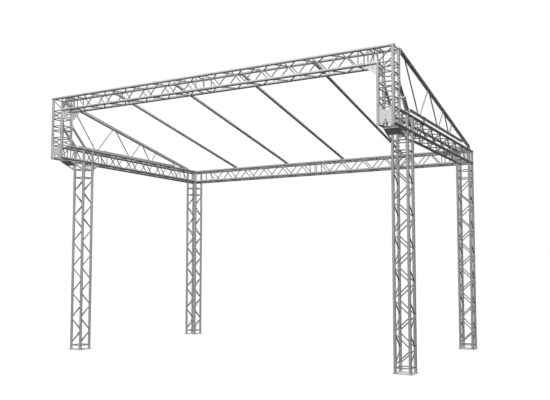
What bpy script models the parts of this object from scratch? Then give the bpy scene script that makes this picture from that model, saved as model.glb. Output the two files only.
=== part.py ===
"""Truss stage roof: four box-truss towers, a ring of beams, a raised front and four sloping roof rails.

Metres, +Z up. X runs across the stage, Y from the audience to the back, and Z = 0 is the ground.
The origin is under the middle of the whole roof.
"""

import math
from dataclasses import dataclass

import bmesh
import bpy
from mathutils import Matrix, Vector

# Box truss: four round chords on a square, laced on every face
CHORD_SPACING = 0.240
CHORD_DIAMETER = 0.050
CHORD_SIDES = 8
BRACE_WIDTH = 0.018
BRACE_SIDES = 4
BRACE_EMBED = 0.009
CORNER_CAP = 0.024
LACING_PITCH = 0.252
LACING_MARGIN = 0.112
NODE_SPREAD = 0.015
END_TIE = 0.080
SEAT_GAP = 0.0003
ROUNDING = 6

# Lengths of the modules
LONG_TRUSS = 3.000
TOWER_TRUSS = 3.490
ELBOW_LEG = 0.355
TEE_FRONT_ARM = 0.250
TEE_REAR_ARM = 0.460
SPACER = 0.210
SPACER_TIES = (0.063, 0.147)
BASE_PLATE_SIDE = 0.320
BASE_PLATE_THICKNESS = 0.010

# Roof rails: a round tube with a low track for the edge of the roof cover on top
RAIL_DIAMETER = 0.042
RAIL_SIDES = 12
RAIL_TAIL = 0.100
RAIL_X = {"far_left": -2.105, "mid_left": -0.715, "mid_right": 0.690, "far_right": 2.056}
RAIL_TRACK = (0.024, 0.010)
FRAME_TRACK = (0.030, 0.022)
TRACK_WALL = 0.003
TRACK_SLOT = 0.008
COUPLER_WIDTH = 0.024
COUPLER_WALL = 0.0053
CHORD_CLEARANCE = 0.00064
WEDGE_CLEARANCE = 0.00032
COUPLER_NECK = 0.036
COUPLER_REACH = 0.060
HOOK_WEB = 0.003
HOOK_DEPTH = 0.010

# Side wedge frames: stations run back from the rear top chord of the front beam
WEDGE_DIAMETER = 0.050
WEDGE_BRACE = 0.022
WEDGE_BRACE_SIDES = 6
WEDGE_LOWER_START = 0.465
WEDGE_LOWER_END = 3.635
WEDGE_LOWER_HEIGHT = 0.088
WEDGE_TOP_STATIONS = (0.265, 1.500, 2.395, 2.960)
WEDGE_LOW_STATIONS = (0.960, 2.025, 2.725)
WEDGE_STATION_SPREAD = 0.035
WEDGE_END_STRUT = 3.575
WEDGE_PLATE_DROP = 0.095
WEDGE_PLATE_WIDTH = 0.052
WEDGE_COUPLER_STATION = 1.220

# Plates and braces
PLATE_THICKNESS = 0.008
KNEE_RISE = 0.370
KNEE_FOOT_LENGTH = 0.090
KNEE_FOOT_WIDTH = 0.052
KNEE_TUBE = 0.048
HAUNCH_FRONT = (0.370, 0.150)
HAUNCH_REAR = (0.160, 0.125)
HAUNCH_RIM = 0.030
HAUNCH_TIP = 0.012
HAUNCH_WEB = 0.50
WEB_THICKNESS = 0.004
GUSSET_LEG_X = 0.165
GUSSET_LEG_Z = 0.145
GUSSET_TIP = 0.022
GUSSET_HOLE_RADIUS = 0.008
GUSSET_HOLE_INSET = 0.045
POST_PLATE_HEIGHT = 0.260
POST_NOTCH_RADIUS = 0.052
POST_HOLE_RADIUS = 0.009
POST_HOLE_HEIGHT = 0.142
POST_MOUTH_WIDTH = 0.110
POST_MOUTH_HEIGHT = 0.095
ARC_STEPS = 8

# What follows from the sizes above
HALF = CHORD_SPACING / 2
CHORD_RADIUS = CHORD_DIAMETER / 2
OUTER = HALF + CHORD_RADIUS
END_CUT = SEAT_GAP / 2
TOWER_SPAN = 2 * (LONG_TRUSS + ELBOW_LEG)
TOWER_DEPTH = TEE_REAR_ARM + LONG_TRUSS + ELBOW_LEG
POST_OVERHANG = ELBOW_LEG + TEE_FRONT_ARM
RING_AXIS = BASE_PLATE_THICKNESS + TOWER_TRUSS + ELBOW_LEG
BEAM_AXIS = RING_AXIS + 2 * ELBOW_LEG + SPACER
FRONT_EDGE = POST_OVERHANG + OUTER
REAR_EDGE = TOWER_DEPTH + max(OUTER, BASE_PLATE_SIDE / 2)
FRONT_TOWERS_Y = (FRONT_EDGE - REAR_EDGE) / 2
POSTS_Y = FRONT_TOWERS_Y - POST_OVERHANG
REAR_TOWERS_Y = FRONT_TOWERS_Y + TOWER_DEPTH
SIDES = {"left": -1, "right": 1}
HINGE = Vector((0, POSTS_Y + HALF, BEAM_AXIS + HALF))
REAR_CHORD = Vector((0, REAR_TOWERS_Y - HALF, RING_AXIS + HALF))
RAIL_RADIUS = RAIL_DIAMETER / 2
WEDGE_RADIUS = WEDGE_DIAMETER / 2
CHORD_BORE = CHORD_RADIUS / math.cos(math.pi / CHORD_SIDES) + CHORD_CLEARANCE
WEDGE_BORE = WEDGE_RADIUS / math.cos(math.pi / RAIL_SIDES) + WEDGE_CLEARANCE
COUPLER_RADIUS = max(CHORD_BORE, WEDGE_BORE) + COUPLER_WALL
RAIL_LIFT = RAIL_RADIUS + SEAT_GAP + HOOK_WEB + CHORD_BORE
RAIL_RUN = math.sqrt((REAR_CHORD - HINGE).length ** 2 - RAIL_LIFT**2)
RAIL_SLOPE = math.atan2(REAR_CHORD.z - HINGE.z, REAR_CHORD.y - HINGE.y) + math.asin(
    RAIL_LIFT / (REAR_CHORD - HINGE).length
)

X_AXIS = Vector((1, 0, 0))
Y_AXIS = Vector((0, 1, 0))
Z_AXIS = Vector((0, 0, 1))


@dataclass(frozen=True)
class Bar:
    """A straight prism from start to end, with a flat of its outline facing along normal.

    Its ends are square to it, or else each is cut along a plane square to cut_start or cut_end.
    """

    start: Vector
    end: Vector
    width: float
    sides: int
    normal: Vector
    cut_start: Vector | None = None
    cut_end: Vector | None = None


def clear_scene():
    for obj in list(bpy.data.objects):
        bpy.data.objects.remove(obj, do_unlink=True)


def new_collection(name):
    collection = bpy.data.collections.new(name)
    bpy.context.scene.collection.children.link(collection)
    return collection


def metal(name, color, roughness, metallic=1.0):
    material = bpy.data.materials.new(name)
    material.use_nodes = True
    shader = material.node_tree.nodes["Principled BSDF"]
    shader.inputs["Base Color"].default_value = (*color, 1.0)
    shader.inputs["Roughness"].default_value = roughness
    shader.inputs["Metallic"].default_value = metallic
    return material


def chord(start, end, normal):
    return Bar(Vector(start), Vector(end), CHORD_DIAMETER, CHORD_SIDES, normal)


def between(start, end, run, normal):
    """A lacing bar between two chord axes, where run is the way straight across from one to the other.

    Both ends are cut parallel to the chords, a little way inside them.
    """
    start = Vector(start)
    end = Vector(end)
    along = (end - start).normalized()
    cut = along * (CHORD_RADIUS - BRACE_EMBED) / abs(along.dot(run))
    return Bar(start + cut, end - cut, BRACE_WIDTH, BRACE_SIDES, normal, run, run)


def add_bar(mesh, bar):
    along = (bar.end - bar.start).normalized()
    side = (bar.normal - along * bar.normal.dot(along)).normalized()
    turned = Matrix((side, along.cross(side), along)).transposed().to_4x4()
    flat_first = Matrix.Rotation(math.pi / bar.sides, 4, "Z")
    middle = (bar.start + bar.end) / 2
    radius = bar.width / 2 / math.cos(math.pi / bar.sides)
    made = bmesh.ops.create_cone(
        mesh,
        cap_ends=True,
        segments=bar.sides,
        radius1=radius,
        radius2=radius,
        depth=(bar.end - bar.start).length,
        matrix=Matrix.Translation(middle) @ turned @ flat_first,
    )
    for vertex in made["verts"]:
        at_end = (vertex.co - middle).dot(along) > 0
        tip = bar.end if at_end else bar.start
        cut = bar.cut_end if at_end else bar.cut_start
        if cut:
            vertex.co += along * (tip - vertex.co).dot(cut) / along.dot(cut)
        vertex.co = [round(value, ROUNDING) for value in vertex.co]


def bars_object(name, bars):
    mesh = bmesh.new()
    for bar in bars:
        add_bar(mesh, bar)
    return cutter(name, mesh)


def cutter(name, mesh):
    data = bpy.data.meshes.new(name)
    mesh.to_mesh(data)
    mesh.free()
    obj = bpy.data.objects.new(name, data)
    obj.hide_render = True
    obj.display_type = "WIRE"
    CUTTERS.objects.link(obj)
    return obj


def finish_mesh(data, name):
    data.name = name
    data.materials.clear()
    data.shade_smooth()
    data.set_sharp_from_angle(angle=math.radians(50))
    return data


def evaluated_mesh(obj):
    graph = bpy.context.evaluated_depsgraph_get()
    return bpy.data.meshes.new_from_object(obj.evaluated_get(graph))


def joined(name, parts):
    """One closed mesh from objects that overlap where they are welded."""
    for other in parts[1:]:
        union = parts[0].modifiers.new(other.name, "BOOLEAN")
        union.operation = "UNION"
        union.solver = "EXACT"
        union.object = other
    bpy.context.view_layer.update()
    data = evaluated_mesh(parts[0])
    for part in parts:
        bpy.data.objects.remove(part, do_unlink=True)
    return finish_mesh(data, name)


def welded(name, *groups):
    """One closed mesh joined from groups of bars. The bars of one group don't touch each other."""
    return joined(name, [bars_object(f"{name}_bars_{index}", group) for index, group in enumerate(groups)])


def plate(name, outlines, thickness):
    """A flat piece in the XY plane: the first outline is its edge and the others are holes."""
    curve = bpy.data.curves.new(name, "CURVE")
    curve.dimensions = "2D"
    curve.fill_mode = "BOTH"
    curve.extrude = thickness / 2
    for outline in outlines:
        spline = curve.splines.new("POLY")
        spline.points.add(len(outline) - 1)
        for point, (x, y) in zip(spline.points, outline):
            point.co = (x, y, 0, 1)
        spline.use_cyclic_u = True
    holder = bpy.data.objects.new(name, curve)
    CUTTERS.objects.link(holder)
    bpy.context.view_layer.update()
    data = evaluated_mesh(holder)
    bpy.data.objects.remove(holder, do_unlink=True)
    mesh = bmesh.new()
    mesh.from_mesh(data)
    bmesh.ops.remove_doubles(mesh, verts=mesh.verts, dist=0.00001)
    bmesh.ops.recalc_face_normals(mesh, faces=mesh.faces)
    mesh.to_mesh(data)
    mesh.free()
    return finish_mesh(data, name)


def place(name, data, material, location=(0, 0, 0), rotation=(0, 0, 0), parent=None):
    obj = bpy.data.objects.new(name, data)
    if not data.materials:
        data.materials.append(material)
    obj.location = location
    obj.rotation_euler = rotation
    obj.parent = parent
    PARTS.objects.link(obj)
    return obj


def arc(centre, radius, start, end, steps):
    """Points on a circle from one angle in degrees to another, ends included."""
    angles = [math.radians(start + (end - start) * step / steps) for step in range(steps + 1)]
    return [(centre[0] + radius * math.cos(a), centre[1] + radius * math.sin(a)) for a in angles]


def circle(centre, radius, steps):
    return arc(centre, radius, 0, 360, steps)[:-1]


def corners():
    return [(x, y) for x in (-HALF, HALF) for y in (-HALF, HALF)]


def face_bars(length, fixed, run, start_side, stations):
    """Zigzag and end ties on the two faces at fixed = +-HALF, where run crosses from chord to chord."""
    bars = []
    spread = Z_AXIS * NODE_SPREAD
    for face in (-1, 1):
        edge = fixed * HALF * face
        for index, (low, high) in enumerate(zip(stations, stations[1:])):
            side = run * HALF * (start_side if index % 2 == 0 else -start_side)
            begin = edge + side + Z_AXIS * low + spread
            finish = edge - side + Z_AXIS * high - spread
            bars.append(between(begin, finish, run, fixed))
        for height in (END_TIE, length - END_TIE):
            level = edge + Z_AXIS * height
            bars.append(between(level - run * HALF, level + run * HALF, run, fixed))
    return bars


def lacing_stations(length):
    """Heights at which the zigzag of a straight truss turns."""
    count = round((length - 2 * LACING_MARGIN) / LACING_PITCH)
    pitch = (length - 2 * LACING_MARGIN) / count
    return [LACING_MARGIN + pitch * index for index in range(count + 1)]


def truss(name, length, start_on_y, start_on_x):
    """A straight box truss along +Z. Each start is the side on which the zigzag of those faces begins."""
    stations = lacing_stations(length)
    chords = [chord((x, y, END_CUT), (x, y, length - END_CUT), X_AXIS) for x, y in corners()]
    laced = face_bars(length, Y_AXIS, X_AXIS, start_on_y, stations)
    laced += face_bars(length, X_AXIS, Y_AXIS, start_on_x, stations)
    return welded(name, chords, laced)


def spacer_mesh():
    """A short straight piece: four chords with a tie near each end of every face."""
    chords = [chord((x, y, END_CUT), (x, y, SPACER - END_CUT), X_AXIS) for x, y in corners()]
    ties = []
    for height in SPACER_TIES:
        for side in (-HALF, HALF):
            ties.append(between((-HALF, side, height), (HALF, side, height), X_AXIS, Y_AXIS))
            ties.append(between((side, -HALF, height), (side, HALF, height), Y_AXIS, X_AXIS))
    return welded("post_spacer", chords, ties)


def elbow_mesh():
    """A corner whose legs point along -X and -Z. Its outer chords meet at the outer corner."""
    reach = ELBOW_LEG - END_CUT
    uprights = []
    runs = []
    ties = []
    for y in (-HALF, HALF):
        uprights.append(chord((HALF, y, -reach), (HALF, y, HALF), X_AXIS))
        uprights.append(chord((-HALF, y, -reach), (-HALF, y, -HALF), X_AXIS))
        runs.append(chord((-reach, y, HALF), (HALF + CORNER_CAP, y, HALF), Y_AXIS))
        runs.append(chord((-reach, y, -HALF), (-HALF + CORNER_CAP, y, -HALF), Y_AXIS))
        ties.append(between((-HALF, y, -HALF), (HALF, y, -HALF), X_AXIS, Y_AXIS))
        ties.append(between((-HALF, y, -HALF), (-HALF, y, HALF), Z_AXIS, Y_AXIS))
    tie_at = END_TIE - ELBOW_LEG
    for x, z in ((-HALF, -HALF), (-HALF, HALF), (HALF, -HALF), (HALF, HALF), (tie_at, -HALF), (tie_at, HALF)):
        ties.append(between((x, -HALF, z), (x, HALF, z), Y_AXIS, X_AXIS))
    for x in (-HALF, HALF):
        ties.append(between((x, -HALF, tie_at), (x, HALF, tie_at), Y_AXIS, X_AXIS))
    for y in (-HALF, HALF):
        ties.append(between((tie_at, y, -HALF), (tie_at, y, HALF), Z_AXIS, Y_AXIS))
        ties.append(between((-HALF, y, tie_at), (HALF, y, tie_at), X_AXIS, Y_AXIS))
    return welded("elbow", uprights, runs, ties, elbow_diagonals(tie_at))


def elbow_diagonals(tie_at):
    """One diagonal across the corner of each flat side, and one on every face of each leg."""
    near = tie_at + 2 * NODE_SPREAD
    far = -HALF - 2 * NODE_SPREAD
    low = NODE_SPREAD - HALF
    bars = []
    for side, begin, finish in ((-HALF, far, near), (HALF, near, far)):
        bars.append(between((-HALF, side, low), (HALF, side, -low), X_AXIS, Y_AXIS))
        bars.append(between((HALF, side, begin), (-HALF, side, finish), X_AXIS, Y_AXIS))
        bars.append(between((begin, side, HALF), (finish, side, -HALF), Z_AXIS, Y_AXIS))
        bars.append(between((side, -HALF, begin), (side, HALF, finish), Y_AXIS, X_AXIS))
        bars.append(between((begin, -HALF, side), (finish, HALF, side), Y_AXIS, Z_AXIS))
    return bars


def corner_mesh():
    """A three-way corner whose legs point along -X, -Y and -Z from one box of thick tube."""
    reach = ELBOW_LEG - END_CUT
    tie_at = END_TIE - ELBOW_LEG
    groups = []
    for axis in range(3):
        first, second = [other for other in range(3) if other != axis]
        bars = []
        for u in (-HALF, HALF):
            for v in (-HALF, HALF):
                start = Vector((0, 0, 0))
                start[axis] = -reach
                start[first] = u
                start[second] = v
                end = start.copy()
                end[axis] = HALF + (CORNER_CAP if axis == 0 else 0)
                normal = Vector((0, 0, 0))
                normal[first] = 1
                bars.append(chord(start, end, normal))
        groups.append(bars)
    ties = []
    for axis in range(3):
        first, second = [other for other in range(3) if other != axis]
        for u, v in ((first, second), (second, first)):
            for side in (-HALF, HALF):
                start = Vector((0, 0, 0))
                start[axis] = tie_at
                start[u] = side
                start[v] = -HALF
                end = start.copy()
                end[v] = HALF
                normal = Vector((0, 0, 0))
                normal[u] = 1
                run = Vector((0, 0, 0))
                run[v] = 1
                ties.append(between(start, end, run, normal))
    return welded("corner_block", *groups, ties)


def tee_mesh():
    """A tee: two arms along -Y and +Y, and a leg along -Z that stands on the tower."""
    reach = ELBOW_LEG - END_CUT
    rear_tie = TEE_REAR_ARM - END_TIE
    inset = 2 * NODE_SPREAD
    runs = []
    legs = []
    ties = []
    diagonals = []
    for x in (-HALF, HALF):
        for z in (-HALF, HALF):
            runs.append(chord((x, END_CUT - TEE_FRONT_ARM, z), (x, TEE_REAR_ARM - END_CUT, z), X_AXIS))
        legs += [chord((x, y, -reach), (x, y, HALF), X_AXIS) for y in (-HALF, HALF)]
        ties.append(between((x, rear_tie, -HALF), (x, rear_tie, HALF), Z_AXIS, X_AXIS))
        diagonals.append(between((x, HALF + inset, -HALF), (x, rear_tie - inset, HALF), Z_AXIS, X_AXIS))
        diagonals.append(between((x, inset - HALF, HALF), (x, HALF - inset, -HALF), Z_AXIS, X_AXIS))
    for z in (-HALF, HALF):
        for y in (-HALF, HALF, rear_tie):
            ties.append(between((-HALF, y, z), (HALF, y, z), X_AXIS, Z_AXIS))
        diagonals.append(between((-HALF, HALF + inset, z), (HALF, rear_tie - inset, z), X_AXIS, Z_AXIS))
    low = END_TIE - ELBOW_LEG
    for side in (-HALF, HALF):
        ties.append(between((-HALF, side, low), (HALF, side, low), X_AXIS, Y_AXIS))
        ties.append(between((side, -HALF, low), (side, HALF, low), Y_AXIS, X_AXIS))
    return welded("tee_block", runs, legs, ties, diagonals)


def build_ring():
    """Towers, base plates, blocks and beams. Every module keeps its own node."""
    tower = truss("tower", TOWER_TRUSS, -1, -1)
    beam = truss("beam", LONG_TRUSS, -1, -1)
    front_beam = truss("front_beam", LONG_TRUSS, -1, 1)
    base = plate("base_plate", [square(BASE_PLATE_SIDE)], BASE_PLATE_THICKNESS - SEAT_GAP)
    elbow = elbow_mesh()
    spacer = spacer_mesh()
    corner = corner_mesh()
    tee = tee_mesh()
    quarter = math.pi / 2
    for name, side in SIDES.items():
        x = side * TOWER_SPAN / 2
        for row, y in (("front", FRONT_TOWERS_Y), ("rear", REAR_TOWERS_Y)):
            place(f"tower_{row}_{name}", tower, ALUMINIUM, (x, y, BASE_PLATE_THICKNESS))
            seat = (x, y, (BASE_PLATE_THICKNESS - SEAT_GAP) / 2)
            place(f"base_plate_{row}_{name}", base, PLATE_METAL, seat)
        turn = 0 if side > 0 else quarter
        place(f"corner_block_{name}", corner, ALUMINIUM, (x, REAR_TOWERS_Y, RING_AXIS), (0, 0, turn))
        place(f"tee_block_{name}", tee, ALUMINIUM, (x, FRONT_TOWERS_Y, RING_AXIS))
        beam_start = (x, FRONT_TOWERS_Y + TEE_REAR_ARM, RING_AXIS)
        place(f"side_beam_{name}", beam, ALUMINIUM, beam_start, (-quarter, 0, 0))
        beam_x = -LONG_TRUSS if side < 0 else 0
        place(f"rear_beam_{name}", beam, ALUMINIUM, (beam_x, REAR_TOWERS_Y, RING_AXIS), (0, quarter, 0))
        place(f"front_beam_{name}", front_beam, ALUMINIUM, (beam_x, POSTS_Y, BEAM_AXIS), (0, quarter, 0))
        place(f"lower_elbow_{name}", elbow, ALUMINIUM, (x, POSTS_Y, RING_AXIS), (math.pi, 0, -quarter))
        place(f"post_spacer_{name}", spacer, ALUMINIUM, (x, POSTS_Y, RING_AXIS + ELBOW_LEG))
        turn = 0 if side > 0 else math.pi
        place(f"upper_elbow_{name}", elbow, ALUMINIUM, (x, POSTS_Y, BEAM_AXIS), (0, 0, turn))


def square(side):
    half = side / 2
    return [(-half, -half), (half, -half), (half, half), (-half, half)]


def track_outline(width, height):
    """Section of a cover track: a square channel with a slot along its top."""
    half = width / 2
    inner = half - TRACK_WALL
    slot = TRACK_SLOT / 2
    top = height
    lip = top - TRACK_WALL
    right = [(half, 0), (half, top), (slot, top), (slot, lip), (inner, lip), (inner, TRACK_WALL)]
    return right + [(-x, z) for x, z in reversed(right)]


def clamp_outline():
    """Ring that grips the chord, with a neck reaching back to the rail tube."""
    half = math.degrees(math.asin(COUPLER_NECK / 2 / COUPLER_RADIUS))
    ring = arc((0, 0), COUPLER_RADIUS, half, 360 - half, 2 * ARC_STEPS)
    reach = COUPLER_REACH - SEAT_GAP
    return ring + [(reach, -COUPLER_NECK / 2), (reach, COUPLER_NECK / 2)]


def bore(centre, flat_radius, sides):
    return circle(centre, flat_radius / math.cos(math.pi / sides), sides)


def hook_outline():
    """Saddle under the rear of a rail: it drops over the chord from above."""
    top = -RAIL_RADIUS - SEAT_GAP
    foot = -RAIL_LIFT - HOOK_DEPTH
    half = COUPLER_RADIUS
    inner = CHORD_BORE / math.cos(math.pi / 2 / ARC_STEPS)
    notch = arc((0, -RAIL_LIFT), inner, 180, 0, ARC_STEPS)
    return [(-half, top), (-half, foot), (-inner, foot), *notch, (inner, foot), (half, foot), (half, top)]


def tube_bar(start, end, size, normal, cut_start=None):
    return Bar(Vector(start), Vector(end), size, RAIL_SIDES, normal, cut_start)


def clear_of_lacing(x):
    """Place nearest to x where a coupler clears the lacing on the chords that the rails join.

    On those chords the lacing stands at every other station of a beam.
    """
    start = -LONG_TRUSS if x < 0 else 0
    stations = lacing_stations(LONG_TRUSS)
    lean = (stations[1] - stations[0] - 2 * NODE_SPREAD) / CHORD_SPACING
    half_foot = BRACE_WIDTH / 2 * math.hypot(1, lean)
    reach = (COUPLER_RADIUS - BRACE_WIDTH / 2 * math.sin(RAIL_SLOPE)) / math.cos(RAIL_SLOPE)
    keep_off = NODE_SPREAD + reach * lean + half_foot + SEAT_GAP + COUPLER_WIDTH / 2
    nearest = min(stations[::2], key=lambda station: abs(start + station - x))
    offset = x - start - nearest
    if abs(offset) >= keep_off:
        return x
    return start + nearest + math.copysign(keep_off, offset)


def build_rails():
    """Four roof rails. Each turns on its front coupler about the front beam's rear top chord."""
    start = COUPLER_REACH
    length = RAIL_RUN + RAIL_TAIL - start
    tube = welded("rail_tube", [tube_bar((0, start, 0), (0, start + length, 0), RAIL_DIAMETER, Z_AXIS)])
    track = plate("cover_track", [track_outline(*RAIL_TRACK)], length)
    clamp = plate("rail_clamp", [clamp_outline(), bore((0, 0), CHORD_BORE, RAIL_SIDES)], COUPLER_WIDTH)
    hook = plate("rail_hook", [hook_outline()], COUPLER_WIDTH)
    on_edge = (math.pi / 2, 0, math.pi / 2)
    for label, x in RAIL_X.items():
        pivot = bpy.data.objects.new(f"rail_pivot_{label}", None)
        pivot.location = (clear_of_lacing(x), HINGE.y, HINGE.z)
        pivot.rotation_euler = (RAIL_SLOPE, 0, 0)
        PARTS.objects.link(pivot)
        place(f"rail_tube_{label}", tube, RAIL_METAL, parent=pivot)
        middle = start + length / 2
        seat = (0, middle, RAIL_RADIUS + SEAT_GAP)
        place(f"cover_track_{label}", track, TRACK_METAL, seat, (math.pi / 2, 0, 0), pivot)
        place(f"rail_clamp_{label}", clamp, COUPLER_METAL, rotation=on_edge, parent=pivot)
        place(f"rail_hook_{label}", hook, COUPLER_METAL, (0, RAIL_RUN, 0), on_edge, pivot)


def wedge_top(station):
    return station, math.tan(RAIL_SLOPE) * station


def wedge_end():
    """Station where the sloping tube of a side frame comes down onto the beam's chord."""
    height = RING_AXIS - BEAM_AXIS + CHORD_RADIUS + SEAT_GAP + WEDGE_RADIUS * math.cos(RAIL_SLOPE)
    return height / math.tan(RAIL_SLOPE)


def wedge_mesh():
    """Side frame in the YZ plane: a sloping tube over a level one, laced between, with an end plate."""
    low = RING_AXIS - BEAM_AXIS + WEDGE_LOWER_HEIGHT
    front = CHORD_RADIUS + SEAT_GAP
    head = wedge_top(front + PLATE_THICKNESS / 2)
    sloping = tube_bar((0, *head), (0, *wedge_top(wedge_end())), WEDGE_DIAMETER, X_AXIS, Y_AXIS)
    level = tube_bar((0, WEDGE_LOWER_START, low), (0, WEDGE_LOWER_END, low), WEDGE_DIAMETER, X_AXIS)
    lacing = []
    spread = WEDGE_STATION_SPREAD
    for index, station in enumerate(WEDGE_LOW_STATIONS):
        fore = WEDGE_TOP_STATIONS[index] + (spread if index else 0)
        aft = WEDGE_TOP_STATIONS[index + 1] - spread
        lacing.append(wedge_bar(wedge_top(fore), (station - spread, low)))
        lacing.append(wedge_bar((station + spread, low), wedge_top(aft)))
    lacing.append(wedge_bar((WEDGE_END_STRUT, low), wedge_top(WEDGE_END_STRUT)))
    half = WEDGE_PLATE_WIDTH / 2
    face = ((-half, front, -WEDGE_PLATE_DROP), (half, front + PLATE_THICKNESS, WEDGE_RADIUS))
    members = [bars_object("wedge_tubes", [sloping, level]), bars_object("wedge_lacing", lacing)]
    return joined("wedge_frame", [*members, blocks_object("wedge_plate", [face])])


def wedge_bar(start, end):
    return Bar(Vector((0, *start)), Vector((0, *end)), WEDGE_BRACE, WEDGE_BRACE_SIDES, X_AXIS)


def coupler_pair_outline():
    """Long round-ended outline that ties two parallel tubes, one above the other."""
    low = arc((0, 0), COUPLER_RADIUS, 180, 360, ARC_STEPS)
    return low + arc((0, WEDGE_LOWER_HEIGHT), COUPLER_RADIUS, 0, 180, ARC_STEPS)


def build_wedges():
    frame = wedge_mesh()
    start = CHORD_RADIUS + 2 * PLATE_THICKNESS + FRAME_TRACK[1]
    length = wedge_end() / math.cos(RAIL_SLOPE) - start
    track = plate("wedge_track", [track_outline(*FRAME_TRACK)], length)
    holes = [bore((0, 0), CHORD_BORE, RAIL_SIDES), bore((0, WEDGE_LOWER_HEIGHT), WEDGE_BORE, RAIL_SIDES)]
    coupler = plate("wedge_coupler", [coupler_pair_outline(), *holes], COUPLER_WIDTH)
    on_tube = Vector((0, start + length / 2, WEDGE_RADIUS + SEAT_GAP))
    on_slope = Matrix.Rotation(RAIL_SLOPE, 3, "X") @ on_tube
    for name, side in SIDES.items():
        x = side * (TOWER_SPAN / 2 + HALF)
        place(f"wedge_frame_{name}", frame, RAIL_METAL, (x, HINGE.y, HINGE.z))
        seat = (x, HINGE.y + on_slope.y, HINGE.z + on_slope.z)
        place(f"wedge_track_{name}", track, TRACK_METAL, seat, (RAIL_SLOPE + math.pi / 2, 0, 0))
        seat = (x, HINGE.y + WEDGE_COUPLER_STATION, RING_AXIS + HALF)
        place(f"wedge_coupler_{name}", coupler, COUPLER_METAL, seat, (math.pi / 2, 0, 0))


def build_plates():
    """Knee braces, haunches, gussets and the plates on the posts' front faces."""
    knee = knee_brace_mesh()
    haunches = {
        "front": haunch_mesh("haunch_front", *HAUNCH_FRONT),
        "rear": haunch_mesh("haunch_rear", *HAUNCH_REAR),
    }
    gusset = plate("gusset", gusset_outlines(), PLATE_THICKNESS)
    post_plate = plate("post_plate", post_plate_outlines(), PLATE_THICKNESS)
    under_ring = RING_AXIS - OUTER - SEAT_GAP
    under_beam = BEAM_AXIS - OUTER - SEAT_GAP
    before_ties = POSTS_Y - HALF - BRACE_WIDTH / 2 - SEAT_GAP - PLATE_THICKNESS / 2
    for name, side in SIDES.items():
        x = side * TOWER_SPAN / 2
        for label, offset in (("outer", side * HALF), ("inner", -side * HALF)):
            seat = (x + offset, HINGE.y + CHORD_RADIUS, RING_AXIS + OUTER)
            place(f"knee_brace_{label}_{name}", knee, RAIL_METAL, seat)
        for row, way in (("front", -1), ("rear", 1)):
            seat = (x, FRONT_TOWERS_Y + way * (OUTER + SEAT_GAP), under_ring)
            turn = (0, 0, 0 if way < 0 else math.pi)
            place(f"haunch_{row}_{name}", haunches[row], PLATE_METAL, seat, turn)
            seat = (x - side * (OUTER + SEAT_GAP), POSTS_Y + way * HALF, under_beam)
            turn = (math.pi / 2, 0, 0 if side < 0 else math.pi)
            place(f"gusset_{row}_{name}", gusset, PLATE_METAL, seat, turn)
        seat = (x, before_ties, RING_AXIS - OUTER)
        place(f"post_plate_{name}", post_plate, PLATE_METAL, seat, (math.pi / 2, 0, 0))


def blocks_object(name, blocks):
    """Square-edged blocks, each given by its lowest and highest corner."""
    mesh = bmesh.new()
    for low, high in blocks:
        size = Vector(high) - Vector(low)
        matrix = Matrix.Translation(Vector(low) + size / 2) @ Matrix.Diagonal((*size, 1))
        bmesh.ops.create_cube(mesh, size=1, matrix=matrix)
    return cutter(name, mesh)


def knee_brace_mesh():
    """Tube at 45 degrees from a post chord down to a beam chord, with a flat foot at each end."""
    half_width = KNEE_FOOT_WIDTH / 2
    near = SEAT_GAP
    far = SEAT_GAP + PLATE_THICKNESS
    low = KNEE_RISE - KNEE_FOOT_LENGTH / 2
    high = KNEE_RISE + KNEE_FOOT_LENGTH / 2
    head = ((-half_width, near, low), (half_width, far, high))
    toe = ((-half_width, low, near), (half_width, high, far))
    middle = (near + far) / 2
    start = Vector((0, middle, KNEE_RISE))
    end = Vector((0, KNEE_RISE, middle))
    tube = Bar(start, end, KNEE_TUBE, RAIL_SIDES, X_AXIS, Y_AXIS, Z_AXIS)
    return joined("knee_brace", [blocks_object("knee_feet", [head, toe]), bars_object("knee_tube", [tube])])


def haunch_mesh(name, length, drop):
    """Two cut-out side plates under a beam and against a tower, with a web on part of their slope."""
    tip = HAUNCH_TIP
    slope = (drop - tip) / (length - tip)
    rim = HAUNCH_RIM
    slant_rim = rim * math.hypot(1, slope)
    low = drop - slope * (rim - tip) - slant_rim
    edge = [(0, 0), (-length, 0), (-length, -tip), (-tip, -drop), (0, -drop)]
    hole = [(-rim, -rim), (-rim, -low), (-rim - (low - rim) / slope, -rim)]
    side = plate(f"{name}_side", [edge, hole], PLATE_THICKNESS)
    stand = Matrix.Rotation(math.pi / 2, 4, "Z") @ Matrix.Rotation(math.pi / 2, 4, "X")
    parts = [web_object(f"{name}_web", length, tip, slope)]
    for x in (-HALF, HALF):
        obj = bpy.data.objects.new(f"{name}_{x}", side)
        obj.matrix_world = Matrix.Translation((x, 0, 0)) @ stand
        CUTTERS.objects.link(obj)
        parts.append(obj)
    return joined(name, parts)


def web_object(name, length, tip, slope):
    """Thin plate between the two side plates, along the upper part of their sloping edge."""
    reach = length * HAUNCH_WEB
    start = Vector((0, PLATE_THICKNESS - length, WEB_THICKNESS - tip))
    end = start + Vector((0, reach, -slope * reach))
    along = (end - start).normalized()
    turned = Matrix((X_AXIS, along, X_AXIS.cross(along))).transposed().to_4x4()
    size = Matrix.Diagonal((CHORD_SPACING, (end - start).length, WEB_THICKNESS, 1))
    mesh = bmesh.new()
    bmesh.ops.create_cube(mesh, size=1, matrix=Matrix.Translation((start + end) / 2) @ turned @ size)
    return cutter(name, mesh)


def gusset_outlines():
    """Corner plate with blunt tips and one bolt hole."""
    x, z, tip = GUSSET_LEG_X, GUSSET_LEG_Z, GUSSET_TIP
    edge = [(0, 0), (0, -z), (tip, -z), (x, -tip), (x, 0)]
    return [edge, circle((GUSSET_HOLE_INSET, -GUSSET_HOLE_INSET), GUSSET_HOLE_RADIUS, ARC_STEPS)]


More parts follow.
